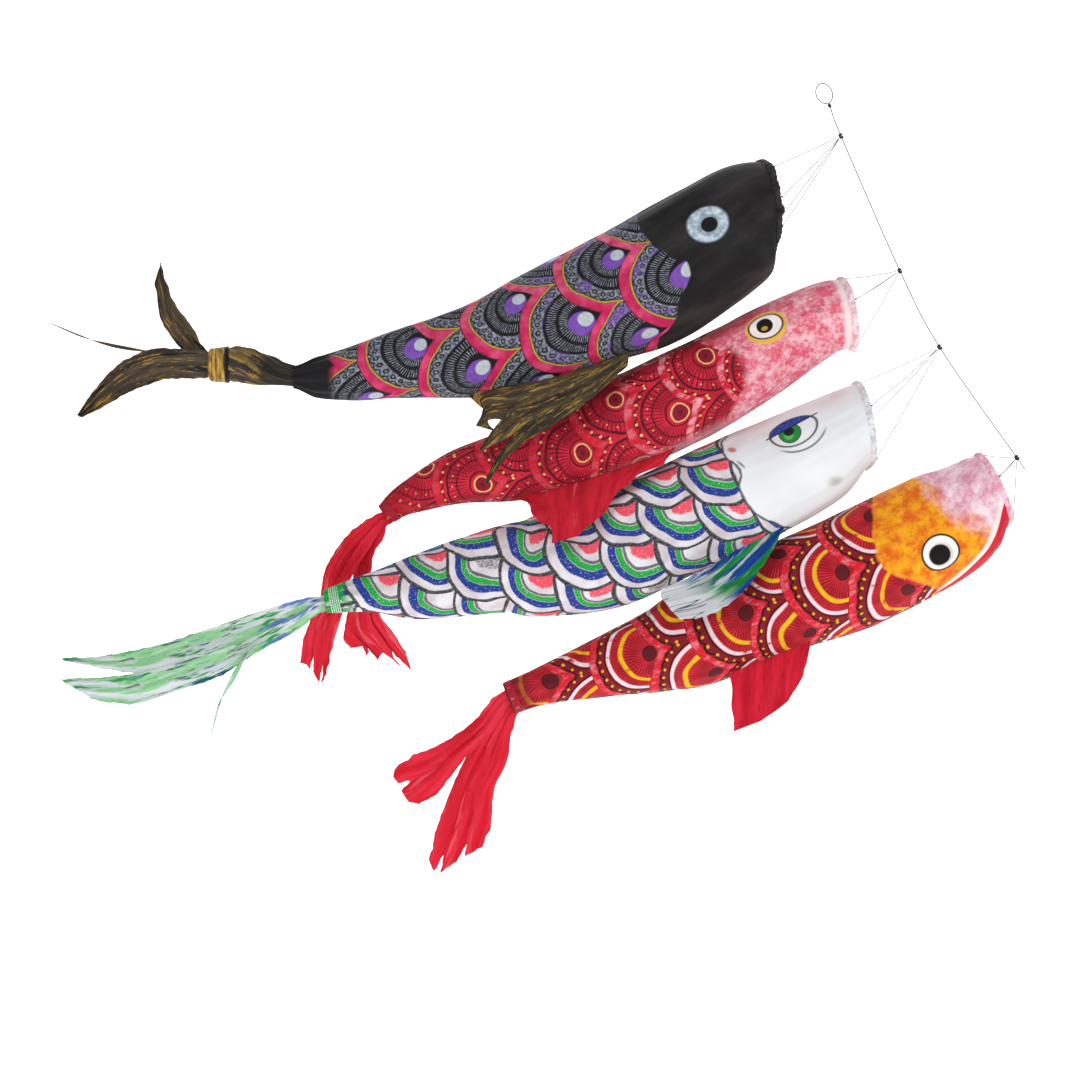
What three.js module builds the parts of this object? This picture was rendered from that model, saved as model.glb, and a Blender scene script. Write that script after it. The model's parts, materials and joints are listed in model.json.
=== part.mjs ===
// Carp streamer: four painted cloth carp wind socks, tied one below another to a single line.
// Millimetres, +Z up, mouths towards +X and tails towards -X; -Y is the near side.
// The origin is the top of the loop that the line hangs from.
import * as THREE from "three";

// ---- Driving dimensions ----
const CLOTH = 1.0; // wall of a sleeve
const SHEET = 0.9; // fin and tail cloth
const GAP = 0.4; // between pieces that touch
const AROUND = 20; // sides of a sleeve, a hoop and a hem
const SLEEVE_RINGS = 12;
const HOOP_WIRE = 1.4; // radius of a mouth hoop's wire
const HEM_INSIDE = 2.0; // radius of the channel round the wire
const HEM_OUTSIDE = 3.0;
const HEM_SLOT = 50; // degrees left open where the hem is sewn down
const LINE_RADIUS = 0.5;
const BRIDLE_RADIUS = 0.35;
const CORD_SIDES = 8;
const KNOT_BORE = 1.0;
const KNOT_RADIUS = 2.8;
const KNOT_HEIGHT = 4.0;
const BRIDLE_START = 4.0; // from the middle of the knot
const MOUTH_SETTLE = 0.16; // share of a sleeve over which its rings turn from the hoop's lean
const FLATTENING = 0.18; // a blown sleeve is this much thinner than it is high
const SEAM_ANGLE = 25; // degrees from the bottom of the belly to the fin's seam
const SEAM_GAP = 2.0;
const TIE_THICKNESS = 1.3;

// Line: the hanging loop, then down past the four knots to the line's end.
const LOOP_RADIUS = 8;
const LOOP_STRETCH = 1.3;
const LINE_LEAN = new THREE.Vector3(-11, 0, 25).normalize(); // the line's direction at its top
const LINE_END = [208, 27, -383];

// ---- The four carp ----
// knot: its place on the line. Everything below it is measured from that knot, as [x, z].
// spine: [x, z, half height] from the hoop's middle to the sleeve's end.
// lean: degrees that the hoop's top leans back. swing: degrees that its near side is turned forward.
// feet: hoop angles of the four bridle legs, from the top towards the near side. Fins run along the
// belly seam between two shares of the spine, and spread sideways by flare for each millimetre that
// they hang. Tails are measured from their root.
const CARPS = [
  {
    name: "black",
    knot: [21, 0, -52],
    lean: 5,
    swing: 14,
    feet: [-34, 84, 121, 225],
    colours: { sleeve: 0x2b2730, hem: 0x1b1a1c, fin: 0x7d6334, tail: 0x6f5a38 },
    spine: [
      [-77, -72, 46], [-102, -89, 59], [-181, -140, 65], [-241, -167, 61], [-301, -194, 57],
      [-361, -213, 46], [-441, -228, 33], [-501, -240, 24], [-548, -241, 14],
    ],
    fin: {
      from: 0.36,
      to: 0.66,
      flare: 0.68,
      edge: [
        [-364, -292], [-346, -297], [-362, -314], [-358, -351], [-338, -330], [-314, -307],
        [-286, -285], [-258, -267],
      ],
    },
    tailRoot: [-626, -229],
    stalk: [[-553, -240, 11], [-579, -233, 16], [-601, -229, 18], [-626, -229, 15]],
    tie: [0.76, 1.0],
    tail: [
      {
        name: "upper",
        depth: 4,
        slope: 0.12,
        outline: [
          [-12, 23], [-22, 36], [-42, 63], [-50, 83], [-56, 103], [-63, 83], [-60, 72],
          [-55, 45], [-35, 17], [-20, 6], [-12, 4],
        ],
      },
      {
        name: "lower",
        depth: -3,
        slope: -0.1,
        outline: [
          [-12, 14], [-63, 15], [-78, 14], [-101, 21], [-163, 41], [-101, 17], [-86, 8],
          [-93, 1], [-135, -52], [-118, -46], [-86, -29], [-56, -17], [-36, -14], [-12, -13],
        ],
      },
    ],
  },
  {
    name: "pink",
    knot: [81, 9, -186],
    lean: 10,
    swing: 7,
    feet: [0, 72, 180, 285],
    colours: { sleeve: 0xd8536f, hem: 0xf0d8dc, fin: 0xd01c30, tail: 0xe22a40 },
    spine: [
      [-54, -43, 35], [-81, -50, 35], [-141, -85, 42], [-221, -128, 47], [-301, -163, 44],
      [-381, -193, 36], [-441, -207, 26], [-491, -227, 16], [-517, -245, 9],
    ],
    fin: {
      from: 0.41,
      to: 0.655,
      flare: 0.75,
      edge: [
        [-363, -235], [-350, -239], [-345, -252], [-350, -274], [-325, -268], [-296, -248],
        [-281, -228], [-252, -203],
      ],
    },
    tailRoot: [-517, -246],
    tie: [0.955, 0.985],
    tail: [
      {
        name: "left",
        depth: 3,
        slope: 0.52,
        outline: [
          [-5, -6], [-38, -17], [-51, -37], [-63, -49], [-64, -74], [-84, -114], [-98, -150],
          [-84, -152], [-71, -175], [-62, -156], [-52, -124], [-38, -84], [-28, -44], [-12, -14],
        ],
      },
      {
        name: "right",
        depth: 7,
        slope: 0.52,
        outline: [
          [-2, -8], [-18, -29], [-32, -74], [-40, -110], [-50, -132], [-21, -129], [-20, -150],
          [-8, -134], [26, -165], [14, -128], [-12, -96], [-16, -57], [-12, -36], [1, -14],
        ],
      },
    ],
  },
  {
    name: "white",
    knot: [122, 18, -262],
    lean: 10,
    swing: 5,
    feet: [-10, 68, 155, 262],
    colours: { sleeve: 0xe2e6ea, hem: 0xc9ccd2, fin: 0x1c5aa8, tail: 0x8fc9a4 },
    spine: [
      [-77, -77, 41], [-122, -106, 50], [-202, -146, 56], [-282, -182, 56], [-342, -208, 57],
      [-402, -221, 51], [-442, -224, 43], [-522, -241, 32], [-572, -247, 19], [-618, -256, 10],
    ],
    fin: {
      from: 0.19,
      to: 0.385,
      flare: 0.95,
      edge: [
        [-281, -251], [-273, -263], [-263, -272], [-244, -271], [-214, -256], [-191, -231],
        [-171, -205],
      ],
    },
    tailRoot: [-620, -257],
    tie: [0.965, 0.99],
    tail: [
      {
        name: "upper",
        depth: 3,
        slope: 0.03,
        outline: [
          [-3, 8], [-26, 3], [-68, -10], [-103, -22], [-154, -39], [-180, -46], [-231, -56],
          [-265, -56], [-247, -65], [-217, -68], [-185, -70], [-132, -57], [-72, -37], [-22, -13],
          [-3, -3],
        ],
      },
      {
        name: "lower",
        depth: -2,
        slope: -0.03,
        outline: [
          [-3, 3], [-22, -14], [-72, -38], [-132, -58], [-185, -73], [-222, -78], [-263, -76],
          [-250, -89], [-231, -97], [-193, -102], [-160, -92], [-124, -82], [-103, -73],
          [-92, -79], [-103, -100], [-111, -130], [-100, -100], [-89, -78], [-78, -56],
          [-47, -41], [-24, -27], [-3, -9],
        ],
      },
    ],
  },
  {
    name: "red",
    knot: [201, 26, -373],
    lean: 25,
    swing: 3,
    feet: [-8, 75, 165, 275],
    colours: { sleeve: 0xd03a38, hem: 0xe6a9bd, fin: 0xd31c34, tail: 0xee3a4a },
    spine: [
      [-24, -31, 37], [-48, -52, 48], [-82, -72, 56], [-162, -112, 58], [-242, -145, 53],
      [-322, -180, 49], [-362, -195, 41], [-422, -213, 29], [-482, -231, 18], [-513, -243, 15],
    ],
    fin: {
      from: 0.425,
      to: 0.535,
      flare: 0.5,
      edge: [[-285, -251], [-289, -273], [-262, -263], [-234, -244], [-217, -216]],
    },
    tailRoot: [-523, -250],
    tie: [0.965, 0.995],
    tail: [
      {
        name: "left",
        depth: -4,
        slope: -0.12,
        outline: [
          [-5, 8], [-26, -10], [-46, -31], [-66, -41], [-86, -50], [-102, -54], [-114, -67],
          [-115, -79], [-97, -101], [-80, -112], [-66, -86], [-51, -70], [-28, -43], [-6, -16],
          [0, -6],
        ],
      },
      {
        name: "right",
        depth: 4,
        slope: 0.12,
        outline: [
          [1, 0], [-12, -20], [-28, -48], [-44, -76], [-58, -103], [-76, -145], [-80, -160],
          [-73, -180], [-52, -165], [-34, -156], [-26, -153], [-13, -143], [-18, -113],
          [-15, -90], [-3, -66], [4, -47], [8, -28], [11, -12],
        ],
      },
    ],
  },
];

// ---- Helpers ----
const NEAR = new THREE.Vector3(0, -1, 0);
const radians = THREE.MathUtils.degToRad;

function material(colour, roughness = 0.85, metalness = 0) {
  return new THREE.MeshStandardMaterial({
    color: colour,
    roughness,
    metalness,
    side: THREE.DoubleSide,
  });
}

function piece(group, name, geometry, look) {
  const mesh = new THREE.Mesh(geometry, look);
  mesh.name = name;
  group.add(mesh);
  return mesh;
}

// A curved centreline in the plane Y = 0 with the sleeve's half height at each share t of it.
class Spine {
  constructor(stations, lean = null, swing = 0) {
    this.centre = new THREE.CatmullRomCurve3(
      stations.map(([x, z]) => new THREE.Vector3(x, 0, z)),
      false,
      "catmullrom",
    );
    this.girth = new THREE.CatmullRomCurve3(
      stations.map(([, , half], i) => new THREE.Vector3(i, half, 0)),
      false,
      "catmullrom",
    );
    this.hoopUp = lean === null ? null : upWithLean(lean);
    this.swing = radians(swing);
  }

  half(t) {
    return this.girth.getPoint(t).y;
  }

  // Height over thickness: round at the hoop, a little flat behind the head.
  side(t) {
    const flat = this.hoopUp ? THREE.MathUtils.smoothstep(t, 0, 2 * MOUTH_SETTLE) : 1;
    return 1 - FLATTENING * flat;
  }

  up(t) {
    const along = this.centre.getTangent(t);
    const square = new THREE.Vector3(along.z, 0, -along.x);
    if (!this.hoopUp) return square;
    const settled = THREE.MathUtils.smoothstep(t, 0, MOUTH_SETTLE);
    return this.hoopUp.clone().lerp(square, settled).normalize();
  }

  // The way to the near side, turned forward at the hoop.
  near(t) {
    const turn = this.swing * (1 - THREE.MathUtils.smoothstep(t, 0, 2 * MOUTH_SETTLE));
    const forward = this.up(t).cross(NEAR);
    return NEAR.clone().multiplyScalar(Math.cos(turn)).addScaledVector(forward, Math.sin(turn));
  }

  // The point at share t, across by `radial` times up and `sideways` towards the near side.
  place(t, radial, sideways) {
    return this.centre
      .getPoint(t)
      .addScaledVector(this.up(t), radial)
      .addScaledVector(this.near(t), sideways * this.side(t));
  }

  // A point on the belly: `angle` degrees from the bottom towards the near side, `gap` outside.
  belly(t, angle, gap) {
    const reach = this.half(t) + gap;
    const turn = radians(angle);
    return this.place(t, -reach * Math.cos(turn), reach * Math.sin(turn));
  }

  // Bends a lathe, whose height is the share t of the spine, round this spine.
  bend(profile) {
    const geometry = new THREE.LatheGeometry(profile, AROUND);
    const position = geometry.getAttribute("position");
    for (let i = 0; i < position.count; i++) {
      const point = this.place(position.getY(i), position.getZ(i), position.getX(i));
      position.setXYZ(i, point.x, point.y, point.z);
    }
    return geometry;
  }

  // A tube between shares from and to: its walls lie `outer` and `inner` outside the girth.
  tube(from, to, rings, outer, inner) {
    const shares = Array.from({ length: rings }, (_, i) =>
      THREE.MathUtils.lerp(from, to, i / (rings - 1)),
    );
    const outside = shares.map((t) => new THREE.Vector2(this.half(t) + outer, t));
    const inside = shares.map((t) => new THREE.Vector2(this.half(t) + inner, t)).reverse();
    return this.bend([...outside, ...inside, outside[0]].reverse());
  }

  // A cloth panel between shares from and to: a thin box bent round the near half of the girth, or
  // round the far half. Its long edges lie in the back seam and the belly seam.
  panel(from, to, rings, thickness, far) {
    const geometry = new THREE.BoxGeometry(1, 1, 1, AROUND / 2, rings - 1, 1);
    const position = geometry.getAttribute("position");
    for (let i = 0; i < position.count; i++) {
      const t = THREE.MathUtils.lerp(from, to, position.getY(i) + 0.5);
      const seam = GAP / 2 / this.half(t);
      const turn = THREE.MathUtils.lerp(Math.PI - seam, seam, position.getX(i) + 0.5);
      const angle = far ? turn + Math.PI : turn;
      const reach = this.half(t) + thickness * (position.getZ(i) - 0.5);
      const point = this.place(t, reach * Math.cos(angle), reach * Math.sin(angle));
      position.setXYZ(i, point.x, point.y, point.z);
    }
    return geometry;
  }

  // A solid between shares from and to, closed by flat ends.
  solid(from, to, rings) {
    const skin = Array.from({ length: rings }, (_, i) => {
      const t = THREE.MathUtils.lerp(from, to, i / (rings - 1));
      return new THREE.Vector2(this.half(t), t);
    });
    const profile = [new THREE.Vector2(0, from), ...skin, new THREE.Vector2(0, to)];
    return this.bend(profile.reverse());
  }
}

function upWithLean(lean) {
  return new THREE.Vector3(-Math.sin(radians(lean)), 0, Math.cos(radians(lean)));
}

// A straight cord from a to b.
function straightCord(a, b, radius) {
  const run = b.clone().sub(a);
  const geometry = new THREE.CylinderGeometry(radius, radius, run.length(), CORD_SIDES);
  const turn = new THREE.Quaternion().setFromUnitVectors(
    new THREE.Vector3(0, 1, 0),
    run.clone().normalize(),
  );
  const middle = a.clone().add(b).multiplyScalar(0.5);
  return geometry.applyQuaternion(turn).translate(middle.x, middle.y, middle.z);
}

// A cloth sheet from an outline of points, each with its own Y, thickened towards the near side.
function sheet(points) {
  const shape = new THREE.Shape(points.map((p) => new THREE.Vector2(p.x, p.z)));
  const geometry = new THREE.ExtrudeGeometry(shape, { depth: SHEET, bevelEnabled: false });
  const position = geometry.getAttribute("position");
  for (let i = 0; i < position.count; i++) {
    const x = position.getX(i);
    const z = position.getY(i);
    const corner = points.reduce((best, p) =>
      Math.hypot(p.x - x, p.z - z) < Math.hypot(best.x - x, best.z - z) ? p : best,
    );
    position.setXYZ(i, x, corner.y - position.getZ(i), z);
  }
  return geometry;
}

// ---- Mouth: hoop, hem and bridle ----
function mouthForward(spine) {
  return new THREE.Vector3().crossVectors(spine.hoopUp, spine.near(0));
}

function hoopMatrix(spine) {
  const basis = new THREE.Matrix4().makeBasis(spine.hoopUp, spine.near(0), mouthForward(spine));
  return basis.setPosition(spine.centre.getPoint(0));
}

function hoop(spine) {
  const ring = new THREE.TorusGeometry(spine.half(0), HOOP_WIRE, 6, AROUND);
  return ring.applyMatrix4(hoopMatrix(spine));
}

// The hem is a channel round the wire, open where its edge is sewn to the sleeve inside.
function hem(spine) {
  const arcSteps = 5;
  const slot = radians(HEM_SLOT);
  const arc = (radius) =>
    Array.from({ length: arcSteps + 1 }, (_, i) => {
      const turn = slot / 2 + ((2 * Math.PI - slot) * i) / arcSteps + Math.PI;
      return new THREE.Vector2(
        spine.half(0) + radius * Math.cos(turn),
        radius * Math.sin(turn),
      );
    });
  const outside = arc(HEM_OUTSIDE);
  const channel = new THREE.LatheGeometry(
    [...outside, ...arc(HEM_INSIDE).reverse(), outside[0]],
    AROUND,
  );
  return channel.rotateX(Math.PI / 2).applyMatrix4(hoopMatrix(spine));
}

// A leg runs from the knot to a point just in front of the hem.
function bridleLeg(spine, angle) {
  const reach = spine.half(0);
  const turn = radians(angle);
  const foot = spine.place(0, reach * Math.cos(turn), reach * Math.sin(turn));
  foot.addScaledVector(mouthForward(spine), HEM_OUTSIDE + BRIDLE_RADIUS + GAP);
  const start = foot.clone().normalize().multiplyScalar(BRIDLE_START);
  return straightCord(start, foot, BRIDLE_RADIUS);
}

function bridleKnot(along) {
  const half = KNOT_HEIGHT / 2;
  const profile = [
    [KNOT_BORE, -half],
    [KNOT_RADIUS * 0.85, -half * 0.7],
    [KNOT_RADIUS, 0],
    [KNOT_RADIUS * 0.85, half * 0.7],
    [KNOT_BORE, half],
    [KNOT_BORE, -half],
  ].map(([r, y]) => new THREE.Vector2(r, y));
  const turn = new THREE.Quaternion().setFromUnitVectors(new THREE.Vector3(0, 1, 0), along);
  return new THREE.LatheGeometry(profile, 10).applyQuaternion(turn);
}

// ---- Fin and tail ----
// The fin hangs from the belly seam. Its hinge line touches the belly's bulge from outside.
function finParts(carp, spine) {
  const { from, to, flare, edge } = carp.fin;
  const rootSteps = 5;
  const root = Array.from({ length: rootSteps }, (_, i) =>
    spine.belly(THREE.MathUtils.lerp(from, to, i / (rootSteps - 1)), SEAM_ANGLE, SEAM_GAP),
  );
  const front = root[0];
  const rear = root[rootSteps - 1];
  const axis = rear.clone().sub(front).normalize();
  const down = new THREE.Vector3(-axis.z, 0, axis.x).normalize();
  if (down.z > 0) down.negate();
  const below = (p) => p.clone().sub(front).dot(down);
  const bulge = Math.max(...root.map(below));
  const hinge = front.clone().add(rear).multiplyScalar(0.5).addScaledVector(down, bulge);
  const free = edge.map(([x, z]) => {
    const point = new THREE.Vector3(x, 0, z);
    point.y = hinge.y - flare * below(point);
    return point;
  });
  return { geometry: sheet([...root, ...free]), hinge, axis };
}

function tailOutline(root, { outline, depth, slope }) {
  return outline.map(([x, z]) => {
    const y = depth + slope * Math.hypot(x, z);
    return new THREE.Vector3(root.x + x, y, root.z + z);
  });
}

// A group whose origin is a joint; its pieces keep the coordinates of the carp they belong to.
function jointGroup(parent, name, at, axis) {
  const group = new THREE.Group();
  group.name = name;
  group.position.copy(at);
  group.userData.axis = axis.toArray();
  parent.add(group);
  return group;
}

function buildTail(parent, carp, spine, look) {
  const [x, z] = carp.tailRoot;
  const root = new THREE.Vector3(x, 0, z);
  const hinge = carp.stalk ? new THREE.Vector3(carp.stalk[0][0], 0, carp.stalk[0][1]) : root;
  const group = jointGroup(parent, `${carp.name}_tail`, hinge, new THREE.Vector3(0, 1, 0));
  const back = hinge.clone().negate();
  const add = (target, name, geometry, finish) =>
    piece(target, `${carp.name}_${name}`, geometry, finish);

  if (carp.stalk) {
    const stalk = new Spine(carp.stalk);
    add(group, "tail_stalk", stalk.solid(0, 1, 7), look.tail).position.copy(back);
    const band = stalk.tube(...carp.tie, 3, GAP + TIE_THICKNESS, GAP);
    add(group, "tail_tie", band, look.tie).position.copy(back);
  } else {
    const band = spine.tube(...carp.tie, 2, GAP + TIE_THICKNESS, GAP);
    add(parent, "tail_tie", band, look.tie);
  }
  for (const lobe of carp.tail) {
    const geometry = sheet(tailOutline(root, lobe));
    add(group, `tail_${lobe.name}`, geometry, look.tail).position.copy(back);
  }
}

// ---- One carp, hung from its knot ----
function buildCarp(carp, along) {
  const spine = new Spine(carp.spine, carp.lean, carp.swing);
  const look = {
    sleeve: material(carp.colours.sleeve),
    hem: material(carp.colours.hem),
    fin: material(carp.colours.fin),
    tail: material(carp.colours.tail),
    tie: material(0xb08a3c, 0.7),
    wire: material(0x9a9a98, 0.4, 0.8),
    thread: material(0x6a6a6c, 0.8),
  };
  const add = (target, name, geometry, finish) =>
    piece(target, `${carp.name}_${name}`, geometry, finish);

  const turning = new THREE.Group();
  turning.name = `${carp.name}_turn`;
  turning.position.set(...carp.knot);
  add(turning, "bridle_knot", bridleKnot(along), look.thread);

  const body = new THREE.Group();
  turning.add(body);
  const legs = ["top", "near", "low", "far"];
  legs.forEach((leg, i) =>
    add(body, `bridle_${leg}`, bridleLeg(spine, carp.feet[i]), look.thread),
  );
  add(body, "hoop", hoop(spine), look.wire);
  add(body, "mouth_hem", hem(spine), look.hem);

  const firstRun = spine.centre.getPoint(0).sub(spine.centre.getPoint(0.02)).divideScalar(0.02);
  const start = (HEM_OUTSIDE + GAP) / firstRun.dot(mouthForward(spine));
  const panel = (far) => spine.panel(start, 1, SLEEVE_RINGS, CLOTH, far);
  add(body, "sleeve_near", panel(false), look.sleeve);
  add(body, "sleeve_far", panel(true), look.sleeve);

  const fin = finParts(carp, spine);
  const finGroup = jointGroup(body, `${carp.name}_fin_hinge`, fin.hinge, fin.axis);
  add(finGroup, "fin", fin.geometry, look.fin).position.copy(fin.hinge).negate();
  buildTail(body, carp, spine, look);
  return turning;
}

// ---- The line ----
function linePath() {
  const first = LINE_LEAN.clone().multiplyScalar(-LOOP_RADIUS * LOOP_STRETCH * 2 - 5);
  const knots = CARPS.map((carp) => new THREE.Vector3(...carp.knot));
  return new THREE.CatmullRomCurve3([first, ...knots, new THREE.Vector3(...LINE_END)]);
}

function mainLine(path) {
  const section = new THREE.Shape();
  for (let i = 0; i < CORD_SIDES; i++) {
    const turn = (2 * Math.PI * i) / CORD_SIDES;
    section[i ? "lineTo" : "moveTo"](LINE_RADIUS * Math.cos(turn), LINE_RADIUS * Math.sin(turn));
  }
  return new THREE.ExtrudeGeometry(section, {
    steps: 32,
    bevelEnabled: false,
    extrudePath: path,
  });
}

function hangingLoop() {
  const ring = new THREE.TorusGeometry(LOOP_RADIUS, LINE_RADIUS, 6, 24);
  ring.scale(1, LOOP_STRETCH, 1).rotateX(Math.PI / 2);
  const turn = new THREE.Quaternion().setFromUnitVectors(new THREE.Vector3(0, 0, 1), LINE_LEAN);
  const middle = LINE_LEAN.clone().multiplyScalar(-LOOP_RADIUS * LOOP_STRETCH);
  return ring.applyQuaternion(turn).translate(middle.x, middle.y, middle.z);
}

function hangingKnot() {
  const bead = new THREE.SphereGeometry(1.7, 10, 6);
  const middle = LINE_LEAN.clone().multiplyScalar(-LOOP_RADIUS * LOOP_STRETCH * 2 - 2.8);
  return bead.translate(middle.x, middle.y, middle.z);
}

const streamer = new THREE.Group();
const path = linePath();
const lineLook = material(0x5c5c5e, 0.8);
piece(streamer, "main_line", mainLine(path), lineLook);
piece(streamer, "hanging_loop", hangingLoop(), lineLook);
piece(streamer, "hanging_knot", hangingKnot(), lineLook);
CARPS.forEach((carp, i) => {
  const along = path.getTangent((i + 1) / (CARPS.length + 1));
  streamer.add(buildCarp(carp, along));
});

export default streamer;
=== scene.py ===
"""Carp streamer: four painted cloth carp wind socks on one line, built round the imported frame.

Metres, +Z up, mouths towards +X, -Y is the near side. Lists of places are millimetres from a carp's
knot, or from its tail's root, and are turned into metres where they are used.
"""

import json
import math

import bmesh
import bpy
import numpy as np
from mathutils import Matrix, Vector, noise


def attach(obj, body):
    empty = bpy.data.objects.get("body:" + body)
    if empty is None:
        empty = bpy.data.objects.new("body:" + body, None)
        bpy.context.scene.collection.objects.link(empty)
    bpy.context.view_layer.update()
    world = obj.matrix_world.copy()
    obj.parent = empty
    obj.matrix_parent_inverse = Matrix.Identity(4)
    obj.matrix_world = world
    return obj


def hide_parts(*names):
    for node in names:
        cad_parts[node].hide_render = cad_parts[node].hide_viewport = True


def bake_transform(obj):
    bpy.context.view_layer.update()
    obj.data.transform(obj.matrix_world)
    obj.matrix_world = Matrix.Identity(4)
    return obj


MM = 0.001
MM_PER_METRE = 1000.0
TAU = 2 * math.pi
NEAR = np.array([0.0, -1.0, 0.0])

# ---- Sizes shared with the CAD model ----
HEM_RADIUS = 3.0
LINE_RADIUS = 0.5
BRIDLE_RADIUS = 0.35
BRIDLE_START = 4.0
MOUTH_SETTLE = 0.16
FLATTENING = 0.18
SEAM_ANGLE = 25
LOOP_RADIUS = 8
LOOP_STRETCH = 1.3
LINE_LEAN = np.array([-11.0, 0.0, 25.0]) / math.hypot(11, 25)
LINE_END = np.array([208.0, 27.0, -383.0])

# ---- Cloth and thread, in millimetres ----
SLEEVE_CLOTH = 0.5
FIN_CLOTH = 0.35
STRAND_CLOTH = 0.5
KNOT_THREAD = 0.5
STITCH_THREAD = 0.3
TIE_THREAD = 0.8
TIE_TURNS = 5
TIE_STEPS = 36
BRIDLE_SAG = 1.2
WEAVE_PITCH = 0.55

# ---- Mesh density: rows, then columns ----
SLEEVE_GRID = (230, 144)
HEM_GRID = (240, 16)
STRIP_GRID = (90, 40)
FIN_GRID = (70, 150)
LOBE_GRID = (110, 60)
BAND_GRID = (26, 120)
STALK_GRID = (110, 72)
SPINE_SAMPLES = 401

# ---- UV maps ----
BAKE_MAP = "OFBake"
PATTERN_MAP = "pattern"
OUTSIDE_U = 0.82
LINING_U = 0.14
LINING_START = 0.85

# ---- Surface ----
CLOTH_GLOW = 0.12
CLOTH_SHEEN = 0.05
CLOTH_SPECULAR = 0.22

# ---- Studio ----
LENS = 100
SENSOR_WIDTH = 36
CAMERA_PLACE = (-0.280, -3.0, -0.456)
LIGHT_AIM = (-0.3, 0.0, -0.45)
WORLD_LIGHT = 0.5
BACKDROP_GLOW = 0.75
BACKDROP_SWEEP = 1.2
KEY_POWER = 34
FILL_POWER = 20
BACK_POWER = 14

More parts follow.
